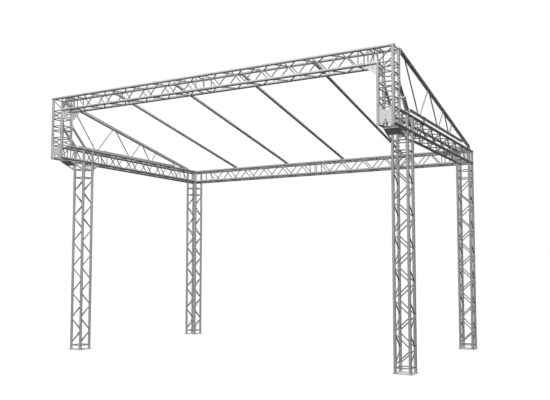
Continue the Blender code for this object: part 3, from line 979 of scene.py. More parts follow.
@dataclass
class ElbowModule(Module):
    """A corner whose legs point along -X and -Z. Its length is that of each leg."""

    def fill(self, lacing: Lacing) -> None:
        """Chords, ties straight across, and one diagonal in each face.

        Args:
            lacing: takes the tubes.
        """
        half, spread, cap = self.truss.half, self.truss.node_spread, self.truss.cap
        reach = self.length - self.truss.gap / 2
        for y in (-half, half):
            lacing.chord((half, y, -reach), (half, y, half))
            lacing.chord((-half, y, -reach), (-half, y, -half))
            lacing.chord((-reach, y, half), (half + cap, y, half))
            lacing.chord((-reach, y, -half), (-half + cap, y, -half))
            lacing.across((0, y, -half), X_AXIS, Z_AXIS)
            lacing.across((-half, y, 0), Z_AXIS, X_AXIS)
        tie_at = self.truss.end_tie - self.length
        near, far = tie_at + 2 * spread, -half - 2 * spread
        for x, z in product((-half, half, tie_at), (-half, half)):
            lacing.across((x, 0, z), Y_AXIS, X_AXIS)
        for side, begin, finish in ((-half, far, near), (half, near, far)):
            lacing.across((side, 0, tie_at), Y_AXIS, Z_AXIS)
            lacing.across((tie_at, side, 0), Z_AXIS, X_AXIS)
            lacing.across((0, side, tie_at), X_AXIS, Z_AXIS)
            lacing.tie((-half, side, spread - half), (half, side, half - spread), X_AXIS, Z_AXIS)
            lacing.tie((half, side, begin), (-half, side, finish), X_AXIS, Z_AXIS)
            lacing.tie((begin, side, half), (finish, side, -half), Z_AXIS, X_AXIS)
            lacing.tie((side, -half, begin), (side, half, finish), Y_AXIS, Z_AXIS)
            lacing.tie((begin, -half, side), (finish, half, side), Y_AXIS, X_AXIS)


@dataclass
class CornerModule(Module):
    """A three-way corner whose legs point along -X, -Y and -Z. Its length is that of each leg."""

    def fill(self, lacing: Lacing) -> None:
        """Four chords and one tie on each face for every leg.

        Args:
            lacing: takes the tubes.
        """
        half, reach = self.truss.half, self.length - self.truss.gap / 2
        tie_at = self.truss.end_tie - self.length
        axes = (X_AXIS, Y_AXIS, Z_AXIS)
        for leg in axes:
            first, second = [other for other in axes if other != leg]
            cap = self.truss.cap if leg is X_AXIS else 0.0
            for u, v in product((-half, half), repeat=2):
                corner = first * u + second * v
                lacing.chord(corner - leg * reach, corner + leg * (half + cap))
            for run, other in ((first, second), (second, first)):
                for side in (-half, half):
                    lacing.across(other * side + leg * tie_at, run, leg)


@dataclass
class TeeModule(Module):
    """A tee: arms along -Y and +Y, and a leg along -Z that stands on a tower. Its length is the leg's."""

    front: float
    rear: float

    def fill(self, lacing: Lacing) -> None:
        """Chords, ties and diagonals of the arms and the leg.

        Args:
            lacing: takes the tubes.
        """
        half, gap = self.truss.half, self.truss.gap / 2
        for x in (-half, half):
            for z in (-half, half):
                lacing.chord((x, gap - self.front, z), (x, self.rear - gap, z))
            for y in (-half, half):
                lacing.chord((x, y, gap - self.length), (x, y, half))
        rear_tie = self.rear - self.truss.end_tie
        inset = 2 * self.truss.node_spread
        low = self.truss.end_tie - self.length
        for x in (-half, half):
            lacing.across((x, rear_tie, 0), Z_AXIS, Y_AXIS)
            lacing.tie((x, half + inset, -half), (x, rear_tie - inset, half), Z_AXIS, Y_AXIS)
            lacing.tie((x, inset - half, half), (x, half - inset, -half), Z_AXIS, Y_AXIS)
            lacing.across((x, 0, low), Y_AXIS, Z_AXIS)
            lacing.across((0, x, low), X_AXIS, Z_AXIS)
        for z in (-half, half):
            for y in (-half, half, rear_tie):
                lacing.across((0, y, z), X_AXIS, Y_AXIS)
            lacing.tie((-half, half + inset, z), (half, rear_tie - inset, z), X_AXIS, Y_AXIS)


@dataclass
class Skeleton:
    """The towers, blocks and beams: every module in its place."""

    layout: Layout

    def build(self) -> None:
        """Makes each kind of module once and sets its copies."""
        lay, truss = self.layout, self.layout.truss
        tower = StraightModule(truss, lay.tower, -1, -1).build("tower")
        beam = StraightModule(truss, lay.beam, -1, -1).build("beam")
        front_beam = StraightModule(truss, lay.beam, -1, 1).build("front_beam")
        elbow = ElbowModule(truss, lay.elbow).build("elbow")
        corner = CornerModule(truss, lay.elbow).build("corner")
        tee = TeeModule(truss, lay.elbow, lay.tee_front, lay.tee_rear).build("tee")
        spacer = SpacerModule(truss, lay.spacer).build("spacer")
        ring, high = lay.ring_z, lay.beam_z
        for side, mid, corner_turn, head_turn in ((Side.LEFT, -lay.beam, 90, 180), (Side.RIGHT, 0.0, 0, 0)):
            x = side.value * lay.tower_x
            places = (
                ("tower_front", tower, turned((x, lay.front_y, lay.base_thickness))),
                ("tower_rear", tower, turned((x, lay.rear_y, lay.base_thickness))),
                ("corner_block", corner, turned((x, lay.rear_y, ring), z=corner_turn)),
                ("tee_block", tee, turned((x, lay.front_y, ring))),
                ("side_beam", beam, turned((x, lay.front_y + lay.tee_rear, ring), x=-90)),
                ("rear_beam", beam, turned((mid, lay.rear_y, ring), y=90)),
                ("front_beam", front_beam, turned((mid, lay.post_y, high), y=90)),
                ("lower_elbow", elbow, turned((x, lay.post_y, ring), x=180, z=-90)),
                ("post_spacer", spacer, turned((x, lay.post_y, ring + lay.elbow))),
                ("upper_elbow", elbow, turned((x, lay.post_y, high), z=head_turn)),
            )
            for kind, data, place in places:
                node = f"{kind}_{side.label}"
                set_piece(f"{node}_tubes", data, place, [node])


class Run(Enum):
    """The three ways that a joint between modules can face, as turns in degrees about X, Y and Z."""

    UP = (0, 0, 0)
    BACK = (-90, 0, 0)
    RIGHT = (0, 90, 0)


@dataclass
class JointPins:
    """Tapered pins and spring clips on both sides of every joint between modules."""

    layout: Layout
    inset: float = 0.028
    radius: float = 0.0065
    collar: Point = (-0.006, 0.001)
    collar_radius: float = 0.0085
    head_out: float = 0.007
    tail_out: float = 0.010
    clip_out: float = 0.006
    clip_reach: float = 0.014
    clip_radius: float = 0.0018

    def build(self) -> None:
        """Makes one set of eight pins and sets it at each joint."""
        data = self._pins()
        for name, place, run in self._joints():
            set_piece(f"pins_{name}", data, turned(place, *run.value))

    def _joints(self) -> list[tuple[str, Place, Run]]:
        """Lists the joints between modules.

        Returns:
            The name, place and direction of each.
        """
        lay = self.layout
        ring, high, low_end = lay.ring_z, lay.beam_z, lay.ring_z + lay.elbow
        joints: list[tuple[str, Place, Run]] = []
        for side in Side:
            x, inner, name = side.value * lay.tower_x, side.value * lay.beam, side.label
            joints += [
                (f"top_{row}_{name}", (x, y, lay.base_thickness + lay.tower), Run.UP) for row, y in lay.rows
            ]
            joints += [
                (f"tee_front_{name}", (x, lay.front_y - lay.tee_front, ring), Run.BACK),
                (f"tee_rear_{name}", (x, lay.front_y + lay.tee_rear, ring), Run.BACK),
                (f"side_rear_{name}", (x, lay.rear_y - lay.elbow, ring), Run.BACK),
                (f"rear_{name}", (inner, lay.rear_y, ring), Run.RIGHT),
                (f"front_{name}", (inner, lay.post_y, high), Run.RIGHT),
                (f"post_low_{name}", (x, lay.post_y, low_end), Run.UP),
                (f"post_high_{name}", (x, lay.post_y, low_end + lay.spacer), Run.UP),
            ]
        joints.append(("rear_middle", (0, lay.rear_y, ring), Run.RIGHT))
        joints.append(("front_middle", (0, lay.post_y, high), Run.RIGHT))
        return joints

    def _pins(self) -> Mesh:
        """The pins around one joint.

        Returns:
            The mesh of eight pins around a joint at Z = 0.
        """
        shop, steel = Shop(Finish.STEEL), Finish.STEEL
        half, outside = self.layout.truss.half, self.layout.truss.chord_radius
        for x, y, z in product((-half, half), (-half, half), (-self.inset, self.inset)):
            middle = Vector((x, y, z))
            way = Vector((math.copysign(1, x), -math.copysign(1, y), 0)).normalized()
            head = middle + way * (outside + self.head_out)
            tail = middle - way * (outside + self.tail_out)
            shop.tube(tail, head, self.radius, steel, PIN_SIDES, FORGED_EDGE)
            low, high = self.collar
            shop.tube(head + way * low, head + way * high, self.collar_radius, steel, PIN_SIDES, SMALL_EDGE)
            clip, reach = middle - way * (outside + self.clip_out), Z_AXIS * self.clip_reach
            shop.tube(clip - reach, clip + reach, self.clip_radius, steel, HEXAGON)
        return shop.finish("joint_pins")


@dataclass
class BasePlates:
    """Flat plates under the towers, with a weld ring around the foot of each chord."""

    layout: Layout
    corner_radius: float = 0.012
    hole_radius: float = 0.010
    ring_size: float = 0.006
    ring_clearance: float = 0.0002

    def build(self) -> None:
        """Makes the plate and sets it under each tower."""
        lay, truss = self.layout, self.layout.truss
        inner = lay.base_side / 2 - self.corner_radius
        edge: list[Point] = []
        for x, y, start in ((1, 1, 0), (-1, 1, 90), (-1, -1, 180), (1, -1, 270)):
            edge += arc((x * inner, y * inner), self.corner_radius, start, start + 90, 5)
        thick = lay.base_thickness - truss.gap
        shop = Shop(Finish.PLATE, Finish.WELD)
        middle = Matrix.Translation((0, 0, thick / 2))
        shop.plate([edge, hole((0, 0), self.hole_radius)], thick, middle, Finish.PLATE)
        bore, section = truss.chord_radius + self.ring_clearance, (self.ring_size, self.ring_size)
        for x, y in product((-truss.half, truss.half), repeat=2):
            seat = (x, y, lay.base_thickness + self.ring_size / 2)
            shop.ring(seat, Z_AXIS, bore, section, Finish.WELD)
        data = shop.finish("base_plate")
        for side, (row, y) in product(Side, lay.rows):
            node = f"base_plate_{row}_{side.label}"
            set_piece(f"{node}_foot", data, turned((side.value * lay.tower_x, y, 0)), [node])


@dataclass
class CoverTrack:
    """Section of the track that holds the cover's edge, with a bead channel under a slot."""

    width: float = 0.030
    height: float = 0.022
    wall: float = 0.0030
    slot: float = 0.006
    soft: float = 0.0022
    foot_soft: float = 0.3

    def outline(self) -> list[Point]:
        """The section, with its foot on the X axis.

        Returns:
            Its corners.
        """
        half, inner = self.width / 2, self.width / 2 - self.wall
        top, lip, slot, soft = self.height, self.height - self.wall, self.slot / 2, self.soft
        foot = (half - soft * self.foot_soft, 0)
        outside = [foot, (half, soft), (half, top - soft), (half - soft, top), (slot, top)]
        inside = [(slot, lip), (inner - soft, lip), (inner, lip - soft), (inner, self.wall)]
        right = outside + inside
        return right + [(-x, z) for x, z in reversed(right)]

    def on_tube(self, radius: float, start: float, end: float, turn: Matrix) -> Mesh:
        """The track on top of a tube along Y.

        Args:
            radius: the tube's radius.
            start: station of its first end.
            end: station of its other end.
            turn: turns tube and track together.

        Returns:
            The mesh.
        """
        shop = Shop(Finish.TRACK)
        upright = axes_frame(-X_AXIS, Z_AXIS, Y_AXIS, (0, 0, radius + SEAT_GAP))
        shop.prism(self.outline(), start, end, turn @ upright, Finish.TRACK)
        return shop.finish("track")


@dataclass
class RoofRail:
    """A sloping tube with a cover track, a coupler at the front and a saddle at the rear."""

    layout: Layout
    label: str
    x: float
    radius: float = 0.021
    start: float = 0.060
    tail: float = 0.100
    track: CoverTrack = field(default_factory=lambda: CoverTrack(0.024, 0.010, wall=0.0026, soft=0.0010))
    clamp_wall: float = 0.0065
    neck: tuple[float, float, float] = (0.011, 0.0, 0.016)
    neck_start: float = 0.029
    ear: tuple[float, float, float] = (0.010, 0.010, 0.006)
    ear_lift: float = 0.0345
    bolt_radius: float = 0.0040
    bolt_ends: Point = (-0.020, 0.018)
    nut: Point = (0.0075, 0.008)
    nut_start: float = -0.022
    saddle_inner: float = 0.0277
    saddle_outer: float = 0.033
    saddle_lip: float = 0.010
    saddle_bolt: Point = (0.0065, 0.006)
    saddle_bolt_out: float = 0.0315
    saddle_bolt_lift: float = 0.012

    def build(self) -> None:
        """Makes the rail's four pieces and sets them on their body."""
        end = self.layout.rail_run + self.tail
        tube = Shop(Finish.RAIL)
        first = (0, self.start + SEAT_GAP, 0)
        tube.tube(first, (0, end, 0), self.radius, Finish.RAIL, rounded=TUBE_EDGE)
        self._set("rail_tube", "round", tube.finish("rail"))
        track = self.track.on_tube(self.radius, self.start, end, Matrix.Identity(4))
        self._set("cover_track", "bead", track)
        self._set("rail_clamp", "coupler", self._clamp())
        self._set("rail_hook", "saddle", self._saddle())

    def _set(self, kind: str, suffix: str, data: Mesh) -> None:
        """Sets one piece on the rail's body.

        Args:
            kind: first words of its node's name.
            suffix: last word of the piece's name.
            data: its mesh in the rail's frame.
        """
        lay = self.layout
        slope = Matrix.Rotation(lay.rail_slope, 4, "X")
        place = Matrix.Translation((self.x, lay.hinge.y, lay.hinge.z)) @ slope
        node = f"{kind}_{self.label}"
        set_piece(f"{node}_{suffix}", data, place, [node], f"rail_{self.label}")

    def _clamp(self) -> Mesh:
        """The front coupler, closed round the chord by a bolt and nut.

        Returns:
            The mesh, with the chord's axis at the origin.
        """
        shop = Shop(Finish.COUPLER, Finish.STEEL)
        shop.ring(ORIGIN, X_AXIS, CLAMP_BORE, (self.clamp_wall, CLAMP_WIDTH), Finish.COUPLER)
        neck, ear = Vector(self.neck), Vector(self.ear)
        low, high = Y_AXIS * self.neck_start - neck, Y_AXIS * self.start + neck
        shop.block(low, high, Finish.COUPLER, TUBE_EDGE)
        for lift in (self.ear_lift, -self.ear_lift):
            shop.block(Z_AXIS * lift - ear, Z_AXIS * lift + ear, Finish.COUPLER, FORGED_EDGE)
        start, end = (Z_AXIS * self.ear_lift + Y_AXIS * station for station in self.bolt_ends)
        shop.tube(start, end, self.bolt_radius, Finish.STEEL, PIN_SIDES, BOLT_EDGE)
        shop.bolt(Z_AXIS * self.ear_lift + Y_AXIS * self.nut_start, Y_AXIS, self.nut)
        return shop.finish("clamp")

    def _saddle(self) -> Mesh:
        """The saddle that drops over the rear chord.

        Returns:
            The mesh in the rail's frame.
        """
        lay, inner, outer = self.layout, self.saddle_inner, self.saddle_outer
        centre, top = -lay.rail_lift, -self.radius - SEAT_GAP
        foot = centre - self.saddle_lip
        notch = arc((0, centre), inner, 180, 0, 14)
        left = [(-outer, top), (-outer, foot), (-inner, foot)]
        right = [(-x, z) for x, z in reversed(left)]
        shop = Shop(Finish.COUPLER, Finish.STEEL)
        on_edge = axes_frame(Y_AXIS, Z_AXIS, X_AXIS, (0, lay.rail_run, 0))
        shop.plate([left + notch + right], CLAMP_WIDTH, on_edge, Finish.COUPLER)
        middle = Vector((0, lay.rail_run, centre + self.saddle_bolt_lift))
        for way in (-Y_AXIS, Y_AXIS):
            shop.bolt(middle + way * self.saddle_bolt_out, way, self.saddle_bolt)
        return shop.finish("saddle")


@dataclass
class SideFrame:
    """A wedge over a side beam: sloping tube, level tube, zigzag, end plate, track and coupler."""

    layout: Layout
    side: Side
    radius: float = 0.025
    bar: float = 0.011
    low_lift: float = 0.088
    low_start: float = 0.465
    low_end: float = 3.635
    top_stations: tuple[float, ...] = (0.265, 1.500, 2.395, 2.960)
    low_stations: tuple[float, ...] = (0.960, 2.025, 2.725)
    spread: float = 0.035
    strut: float = 3.575
    tube_front: float = 0.004
    track_front: float = 0.038
    coupler_station: float = 1.220
    coupler_wall: float = 0.0063
    web: tuple[float, float, float] = (0.014, 0.011, 0.0)
    web_start: float = 0.028
    ear: tuple[float, float, float] = (0.0025, 0.009, 0.010)
    ear_out: float = 0.030
    plate_half_width: float = 0.026
    plate_ends: Point = (-0.095, 0.025)
    plate_thickness: float = 0.008
    bolt: Point = (0.007, 0.009)
    bolt_sink: float = 0.002
    bolt_half_spacing: float = 0.017
    bolt_heights: Point = (-0.082, -0.045)

    def build(self) -> None:
        """Makes the frame, its track and its coupler."""
        lay, name = self.layout, self.side.label
        x, slope = self.side.value * (lay.tower_x + lay.truss.half), lay.rail_slope
        place = Matrix.Translation((x, lay.hinge.y, lay.hinge.z))
        shop = Shop(Finish.RAIL, Finish.BAR, Finish.WELD, Finish.PLATE, Finish.STEEL)
        self._tubes(shop)
        self._plate(shop)
        set_piece(f"wedge_frame_{name}_tubes", shop.finish("wedge"), place, [f"wedge_frame_{name}"])
        begin, end = self.radius + self.track_front, self._end() / math.cos(slope)
        track = CoverTrack().on_tube(self.radius, begin, end, Matrix.Rotation(slope, 4, "X"))
        set_piece(f"wedge_track_{name}_bead", track, place, [f"wedge_track_{name}"])
        clamp_place = (x, lay.hinge.y + self.coupler_station, lay.ring_z + lay.truss.half)
        node = f"wedge_coupler_{name}"
        set_piece(f"{node}_clamp", self._coupler(), Matrix.Translation(clamp_place), [node])

    def _top(self, station: float) -> Vector:
        """Returns: the point on the sloping tube's axis at a station."""
        return Vector((0, station, math.tan(self.layout.rail_slope) * station))

    def _low(self, station: float) -> Vector:
        """Returns: the point on the level tube's axis at a station."""
        return Vector((0, station, self.layout.ring_z - self.layout.beam_z + self.low_lift))

    def _end(self) -> float:
        """Where the sloping tube comes down onto the beam's chord.

        Returns:
            The station.
        """
        lay, slope = self.layout, self.layout.rail_slope
        height = lay.ring_z - lay.beam_z + self.radius + lay.truss.gap + self.radius * math.cos(slope)
        return height / math.tan(slope)

    def _tubes(self, shop: Shop) -> None:
        """Adds the two long tubes and the lacing between them.

        Args:
            shop: takes the shapes.
        """
        front = self.radius + SEAT_GAP + self.tube_front
        shop.tube(self._top(front), self._top(self._end()), self.radius, Finish.RAIL)
        start, end = self._low(self.low_start), self._low(self.low_end)
        shop.tube(start, end, self.radius, Finish.RAIL, rounded=TUBE_EDGE)
        for index, station in enumerate(self.low_stations):
            fore = self.top_stations[index] + (self.spread if index else 0.0)
            aft = self.top_stations[index + 1] - self.spread
            self._bar(shop, self._top(fore), self._low(station - self.spread))
            self._bar(shop, self._top(aft), self._low(station + self.spread))
        self._bar(shop, self._top(self.strut), self._low(self.strut))

    def _bar(self, shop: Shop, top: Vector, low: Vector) -> None:
        """Adds a lacing bar with a bead at each end.

        Args:
            shop: takes the shapes.
            top: its end on the sloping tube.
            low: its end on the level tube.
        """
        along = (low - top).normalized()
        shop.tube(top, low, self.bar, Finish.BAR, ROD_SIDES)
        shop.weld(top, along, (self._top(1) - self._top(0)).normalized(), self.bar, self.radius)
        shop.weld(low, -along, Y_AXIS, self.bar, self.radius)

    def _plate(self, shop: Shop) -> None:
        """Adds the end plate on the back of the post, with its bolts.

        Args:
            shop: takes the shapes.
        """
        near, far = self.radius + SEAT_GAP, self.radius + SEAT_GAP + self.plate_thickness
        wide, (low, high), apart = self.plate_half_width, self.plate_ends, self.bolt_half_spacing
        shop.block((-wide, near, low), (wide, far, high), Finish.PLATE, PLATE_EDGE)
        for x, z in product((-apart, apart), self.bolt_heights):
            shop.bolt(Vector((x, far - self.bolt_sink, z)), Y_AXIS, self.bolt)

    def _coupler(self) -> Mesh:
        """The double clamp between the level tube and the beam's chord.

        Returns:
            The mesh, with the chord's axis at the origin.
        """
        shop, metal = Shop(Finish.COUPLER), Finish.COUPLER
        lifts = (0.0, self.low_lift)
        for lift in lifts:
            shop.ring((0, 0, lift), Y_AXIS, CLAMP_BORE, (self.coupler_wall, CLAMP_WIDTH), metal)
        web, rise, ear = Vector(self.web), Z_AXIS * self.web_start, Vector(self.ear)
        shop.block(rise - web, Z_AXIS * self.low_lift - rise + web, metal, TUBE_EDGE)
        for lift, sign in product(lifts, (-1, 1)):
            middle = Vector((sign * self.ear_out, 0, lift))
            shop.block(middle - ear, middle + ear, metal, SMALL_EDGE)
        return shop.finish("wedge_coupler")


@dataclass
class KneeBrace:
    """Tube at 45 degrees between a post and a side beam, with a bolted foot at each end.

    The outer brace of each side also has a wide sleeve on its lower half, held by a knob.
    """

    layout: Layout
    rise: float = 0.370
    foot_length: float = 0.090
    foot_width: float = 0.052
    thick: float = 0.008
    tube: float = 0.024
    sleeve: float = 0.034
    sleeve_from: float = 0.44
    sleeve_to: float = 0.91
    collar: float = 0.039
    collar_ends: Point = (-0.006, 0.022)
    stem: float = 0.0066
    stem_ends: Point = (0.0, 0.016)
    knob: float = 0.011
    knob_ends: Point = (0.012, 0.030)
    knob_station: float = 0.008
    knob_sink: float = 0.003
    end_sink: Point = (0.001, 0.003)
    bolt: Point = (0.006, 0.008)
    bolt_sink: float = 0.002
    bolt_half_spacing: Point = (0.018, 0.036)

    def build(self) -> None:
        """Makes the two kinds of brace and sets their copies."""
        lay = self.layout
        y, z = lay.hinge.y + lay.truss.chord_radius, lay.ring_z + lay.truss.outer
        kinds = {"outer": self._brace(True), "inner": self._brace(False)}
        for side in Side:
            for label, sign in (("outer", side.value), ("inner", -side.value)):
                x = side.value * lay.tower_x + sign * lay.truss.half
                node = f"knee_brace_{label}_{side.label}"
                set_piece(f"{node}_tube", kinds[label], turned((x, y, z)), [node])

    def _brace(self, sleeved: bool) -> Mesh:
        """One brace.

        Args:
            sleeved: whether it has the sleeve and its knob.

        Returns:
            The mesh, with the corner between post and beam at the origin.
        """
        shop = Shop(Finish.RAIL, Finish.PLATE, Finish.STEEL)
        wide, near, far = self.foot_width / 2, SEAT_GAP, SEAT_GAP + self.thick
        low, high = self.rise - self.foot_length / 2, self.rise + self.foot_length / 2
        shop.block((-wide, near, low), (wide, far, high), Finish.PLATE, PLATE_EDGE)
        shop.block((-wide, low, near), (wide, high, far), Finish.PLATE, PLATE_EDGE)
        reach, inside = self.rise - self.end_sink[0], near + self.end_sink[1]
        start, end = Vector((0, inside, reach)), Vector((0, reach, inside))
        for tip, cut in ((start, Y_AXIS), (end, Z_AXIS)):
            shop.cut_tube(tip, (start + end) / 2, cut, self.tube, Finish.RAIL)
        for x, shift in product(*((-apart, apart) for apart in self.bolt_half_spacing)):
            along, off = self.rise + shift, far - self.bolt_sink
            shop.bolt(Vector((x, off, along)), Y_AXIS, self.bolt)
            shop.bolt(Vector((x, along, off)), Z_AXIS, self.bolt)
        if sleeved:
            self._sleeve(shop, start, end)
        return shop.finish("knee_brace_sleeved" if sleeved else "knee_brace")

    def _sleeve(self, shop: Shop, start: Vector, end: Vector) -> None:
        """Adds the sleeve, its collar and the knob, which points away from the corner.

        Args:
            shop: takes the shapes.
            start: upper end of the brace's axis.
            end: lower end of the brace's axis.
        """
        top, foot = start.lerp(end, self.sleeve_from), start.lerp(end, self.sleeve_to)
        along = (foot - top).normalized()
        shop.tube(top, foot, self.sleeve, Finish.PLATE, rounded=TUBE_EDGE)
        low, high = self.collar_ends
        shop.tube(top + along * low, top + along * high, self.collar, Finish.PLATE, rounded=TUBE_EDGE)
        away = Vector((0, 1, 1)).normalized()
        seat = top + along * self.knob_station + away * (self.collar - self.knob_sink)
        parts = ((self.stem, self.stem_ends, 0.0), (self.knob, self.knob_ends, TUBE_EDGE))
        for radius, (low, high), edge in parts:
            shop.tube(seat + away * low, seat + away * high, radius, Finish.STEEL, KNOB_SIDES, edge)


@dataclass
class Plates:
    """Haunches under the ring, gussets under the front beam, and the plates on the posts."""

    layout: Layout
    thick: float = 0.008
    gusset_bolt: Point = (0.0105, 0.018)
    post_bolt: Point = (0.006, 0.006)
    post_plate_out: float = 0.0133

    def build(self) -> None:
        """Makes every plate and sets its copies."""
        lay = self.layout
        haunches = {"front": self._haunch(0.370, 0.150), "rear": self._haunch(0.160, 0.125)}
        gusset = self._gusset()
        post = self._post_plate()
        outer, half = lay.truss.outer + lay.truss.gap, lay.truss.half
        for side in Side:
            x, name = side.value * lay.tower_x, side.label
            gusset_turn = 0 if side is Side.LEFT else 180
            for row, way, turn in (("front", -1, 0), ("rear", 1, 180)):
                seat = turned((x, lay.front_y + way * outer, lay.ring_z - outer), z=turn)
                set_piece(f"haunch_{row}_{name}_plates", haunches[row], seat, [f"haunch_{row}_{name}"])
                corner = (x - side.value * outer, lay.post_y + way * half, lay.beam_z - outer)
                seat = turned(corner, x=90, z=gusset_turn)
                set_piece(f"gusset_{row}_{name}_plate", gusset, seat, [f"gusset_{row}_{name}"])
            foot = (x, lay.post_y - half - self.post_plate_out, lay.ring_z - lay.truss.outer)
            set_piece(f"post_plate_{name}_sheet", post, turned(foot, x=90), [f"post_plate_{name}"])

    def _gusset(self) -> Mesh:
        """The corner plate, with blunt tips and a bolt.

        Returns:
            The mesh, with its corner at the origin.
        """
        shop = Shop(Finish.PLATE, Finish.STEEL)
        x, z, tip, inset = 0.165, 0.145, 0.022, 0.045
        edge = [(0, 0), (0, -z), (tip, -z), (x, -tip), (x, 0)]
        shop.plate([edge, hole((inset, -inset), 0.008)], self.thick, Matrix.Identity(4), Finish.PLATE)
        shop.bolt(Vector((inset, -inset, -self.gusset_bolt[1] / 2)), Z_AXIS, self.gusset_bolt)
        return shop.finish("gusset", PLATE_SHARP_DEGREES)

    def _post_plate(self) -> Mesh:
        """The plate on a post, with a round notch, a hole and a mouth.

        Returns:
            The mesh, with the middle of its foot at the origin.
        """
        shop = Shop(Finish.PLATE, Finish.STEEL)
        half = self.layout.truss.half - self.layout.truss.chord_radius - SEAT_GAP
        top, mouth, mouth_top, notch_radius = 0.260, 0.055, 0.095, 0.052
        bolt_inset, bolt_heights, bolt_sink = 0.014, (0.030, 0.235), 0.001
        notch = arc((0, top), notch_radius, 180, 360, 24)
        left = [(-mouth, 0), (-half, 0), (-half, top)]
        right = [(-x, y) for x, y in reversed(left)]
        outlines = [left + notch + right + [(0, mouth_top)], hole((0, 0.142), 0.009)]
        shop.plate(outlines, self.thick, Matrix.Identity(4), Finish.PLATE)
        for x, y in product((-half + bolt_inset, half - bolt_inset), bolt_heights):
            shop.bolt(Vector((x, y, self.thick / 2 - bolt_sink)), Z_AXIS, self.post_bolt)
        return shop.finish("post_plate", PLATE_SHARP_DEGREES)

    def _haunch(self, length: float, drop: float) -> Mesh:
        """Two cut-out side plates with a web on part of their slope.

        Args:
            length: how far it reaches under the beam.
            drop: how far it reaches down the tower.

        Returns:
            The mesh, with its inner corner at the origin and its length along -Y.
        """
        shop = Shop(Finish.PLATE)
        tip, rim, half, web, web_share = 0.012, 0.030, self.layout.truss.half, 0.004, 0.5
        slope = (drop - tip) / (length - tip)
        low = drop - slope * (rim - tip) - rim * math.hypot(1, slope)
        edge = [(0, 0), (-length, 0), (-length, -tip), (-tip, -drop), (0, -drop)]
        cut_out = [(-rim, -rim), (-rim, -low), (-rim - (low - rim) / slope, -rim)]
        for x in (-half, half):
            stand = axes_frame(Y_AXIS, Z_AXIS, X_AXIS, (x, 0, 0))
            shop.plate([edge, cut_out], self.thick, stand, Finish.PLATE)
        reach = length * web_share
        start = Vector((0, self.thick - length, web - tip))
        end = start + Vector((0, reach, -slope * reach))
        along = (end - start).normalized()
        frame = axes_frame(X_AXIS, along, X_AXIS.cross(along), (start + end) / 2)
        size = Vector((half, (end - start).length / 2, web / 2))
        shop.block(-size, size, Finish.PLATE, 0.0, frame)
        return shop.finish("haunch", PLATE_SHARP_DEGREES)


@dataclass(frozen=True)
class Lamp:
    """A square light that faces the middle of the roof."""

    name: str
    place: tuple[float, float, float]
    size: float
    watts: float
    shadows: bool

    def hang(self, target: Vector) -> None:
        """Puts the light in the scene.

        Args:
            target: the point it faces.
        """
        data = bpy.data.lights.new(self.name, "AREA")
        data.shape = "SQUARE"
        data.size = self.size
        data.energy = self.watts
        data.use_shadow = self.shadows
        light = bpy.data.objects.new(self.name, data)
        light.location = self.place
        light.rotation_euler = (target - Vector(self.place)).to_track_quat("-Z", "Y").to_euler()
        bpy.context.scene.collection.objects.link(light)


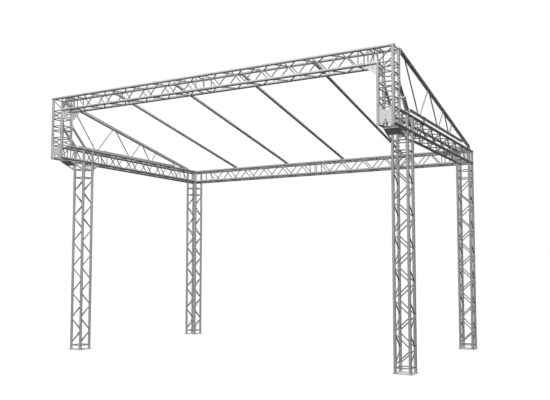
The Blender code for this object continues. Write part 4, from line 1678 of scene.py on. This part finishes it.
@dataclass
class Studio:
    """Camera, floor, backdrop and soft light."""

    eye: tuple[float, float, float] = (6.9633, -12.1388, 1.6005)
    azimuth: float = 0.5087
    elevation: float = 0.0723
    focal_pixels: float = 708.80
    image: Point = (550.0, 400.0)
    centre: Point = (275.91, 216.93)
    sensor: float = 36.0
    view_depth: float = 200.0
    target_height: float = 2.5
    unseen_light: float = 0.006
    floor_size: float = 60.0
    floor_drop: float = 0.0005
    lamps: tuple[Lamp, ...] = (
        Lamp("near", (2.2, -8.2, 9.8), 2.5, 400.0, False),
        Lamp("key", (4.9, -17.0, 27.5), 5.0, 2200.0, True),
        Lamp("fill", (4.9, -17.0, 27.5), 5.0, 4000.0, False),
    )

    def build(self) -> None:
        """Sets the whole studio."""
        self._camera()
        self._world()
        self._floor()
        for lamp in self.lamps:
            lamp.hang(Z_AXIS * self.target_height)
        bpy.context.scene.view_settings.view_transform = "Standard"

    def _camera(self) -> None:
        """The camera at the photograph's place, found by fitting truss corners."""
        data = bpy.data.cameras.new("camera")
        width, height = self.image
        data.sensor_width = self.sensor
        data.lens = self.focal_pixels / width * self.sensor
        data.shift_x = -(self.centre[0] - width / 2) / width
        data.shift_y = (self.centre[1] - height / 2) / width
        data.clip_end = self.view_depth
        camera = bpy.data.objects.new("camera", data)
        camera.location = self.eye
        camera.rotation_euler = (math.pi / 2 + self.elevation, 0.0, self.azimuth)
        bpy.context.scene.collection.objects.link(camera)
        bpy.context.scene.camera = camera

    @staticmethod
    def _seen(tree: Tree) -> Socket:
        """Tells rays that show the background, straight, in a reflection or through glass.

        Args:
            tree: takes the nodes.

        Returns:
            1 for those rays and 0 for others.
        """
        straight = tree.node("ShaderNodeLightPath", {}, {}, output="Is Camera Ray")
        outputs = straight.socket.node.outputs
        glossy, through = outputs["Is Glossy Ray"], outputs["Is Transmission Ray"]
        return straight.highest(Socket(tree, glossy)).highest(Socket(tree, through))

    def _world(self) -> None:
        """White where it is seen, and a low even light elsewhere."""
        world = bpy.data.worlds.new("studio")
        bpy.context.scene.world = world
        tree = Tree(world)
        color = tree.mix(self._seen(tree), (*(self.unseen_light,) * 3, 1.0), (1.0, 1.0, 1.0, 1.0))
        tree.feed(world.node_tree.nodes["Background"], {"Color": color, "Strength": 1.0})

    def _floor(self) -> None:
        """A floor that is white where it is seen and dark to the roof's other light, with painted light:
        its glow grows outwards.
        """
        shop = bmesh.new()
        bmesh.ops.create_grid(shop, x_segments=1, y_segments=1, size=self.floor_size)
        data = bpy.data.meshes.new("floor")
        shop.to_mesh(data)
        shop.free()
        material = bpy.data.materials.new("floor")
        tree = Tree(material)
        shader = material.node_tree.nodes["Principled BSDF"]
        tree.feed(shader, {"Base Color": (0.02, 0.02, 0.02, 1.0), "Roughness": 0.9})
        place = tree.node("ShaderNodeTexCoord", {}, {}, output="Object")
        away = tree.node("ShaderNodeVectorMath", {"operation": "LENGTH"}, {0: place}, output="Value")
        # painted light: the glow rises from 0.95 within 4 m of the middle to 1.0 past 14 m, making up for
        # the lamps' falloff
        glow = tree.node("ShaderNodeMapRange", {}, {"Value": away, 1: 4.0, 2: 14.0, 3: 0.95, 4: 1.0})
        bright = tree.node("ShaderNodeEmission", {}, {"Color": (1.0, 1.0, 1.0, 1.0), "Strength": glow})
        lit = tree.node("ShaderNodeBsdfDiffuse", {}, {"Color": (0.12, 0.12, 0.12, 1.0)})
        both = tree.node("ShaderNodeAddShader", {}, {0: bright, 1: lit})
        dark = Socket(tree, shader.outputs[0])
        mixed = tree.node("ShaderNodeMixShader", {}, {0: self._seen(tree), 1: dark, 2: both})
        tree.feed(material.node_tree.nodes["Material Output"], {"Surface": mixed})
        data.materials.append(material)
        floor = bpy.data.objects.new("floor", data)
        floor.location.z = -self.floor_drop
        bpy.context.scene.collection.objects.link(floor)


def main() -> None:
    """Builds the studio and every sub-assembly."""
    logging.basicConfig(level=logging.INFO, format="%(message)s")
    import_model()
    layout = Layout()
    Studio().build()
    steps: list[Callable[[], None]] = [Skeleton(layout).build, JointPins(layout).build]
    steps += [BasePlates(layout).build]
    steps += [RoofRail(layout, label, x).build for label, x in layout.rail_x]
    steps += [SideFrame(layout, side).build for side in Side]
    steps += [KneeBrace(layout).build, Plates(layout).build]
    for step in steps:
        step()


if __name__ == "__main__":
    main()
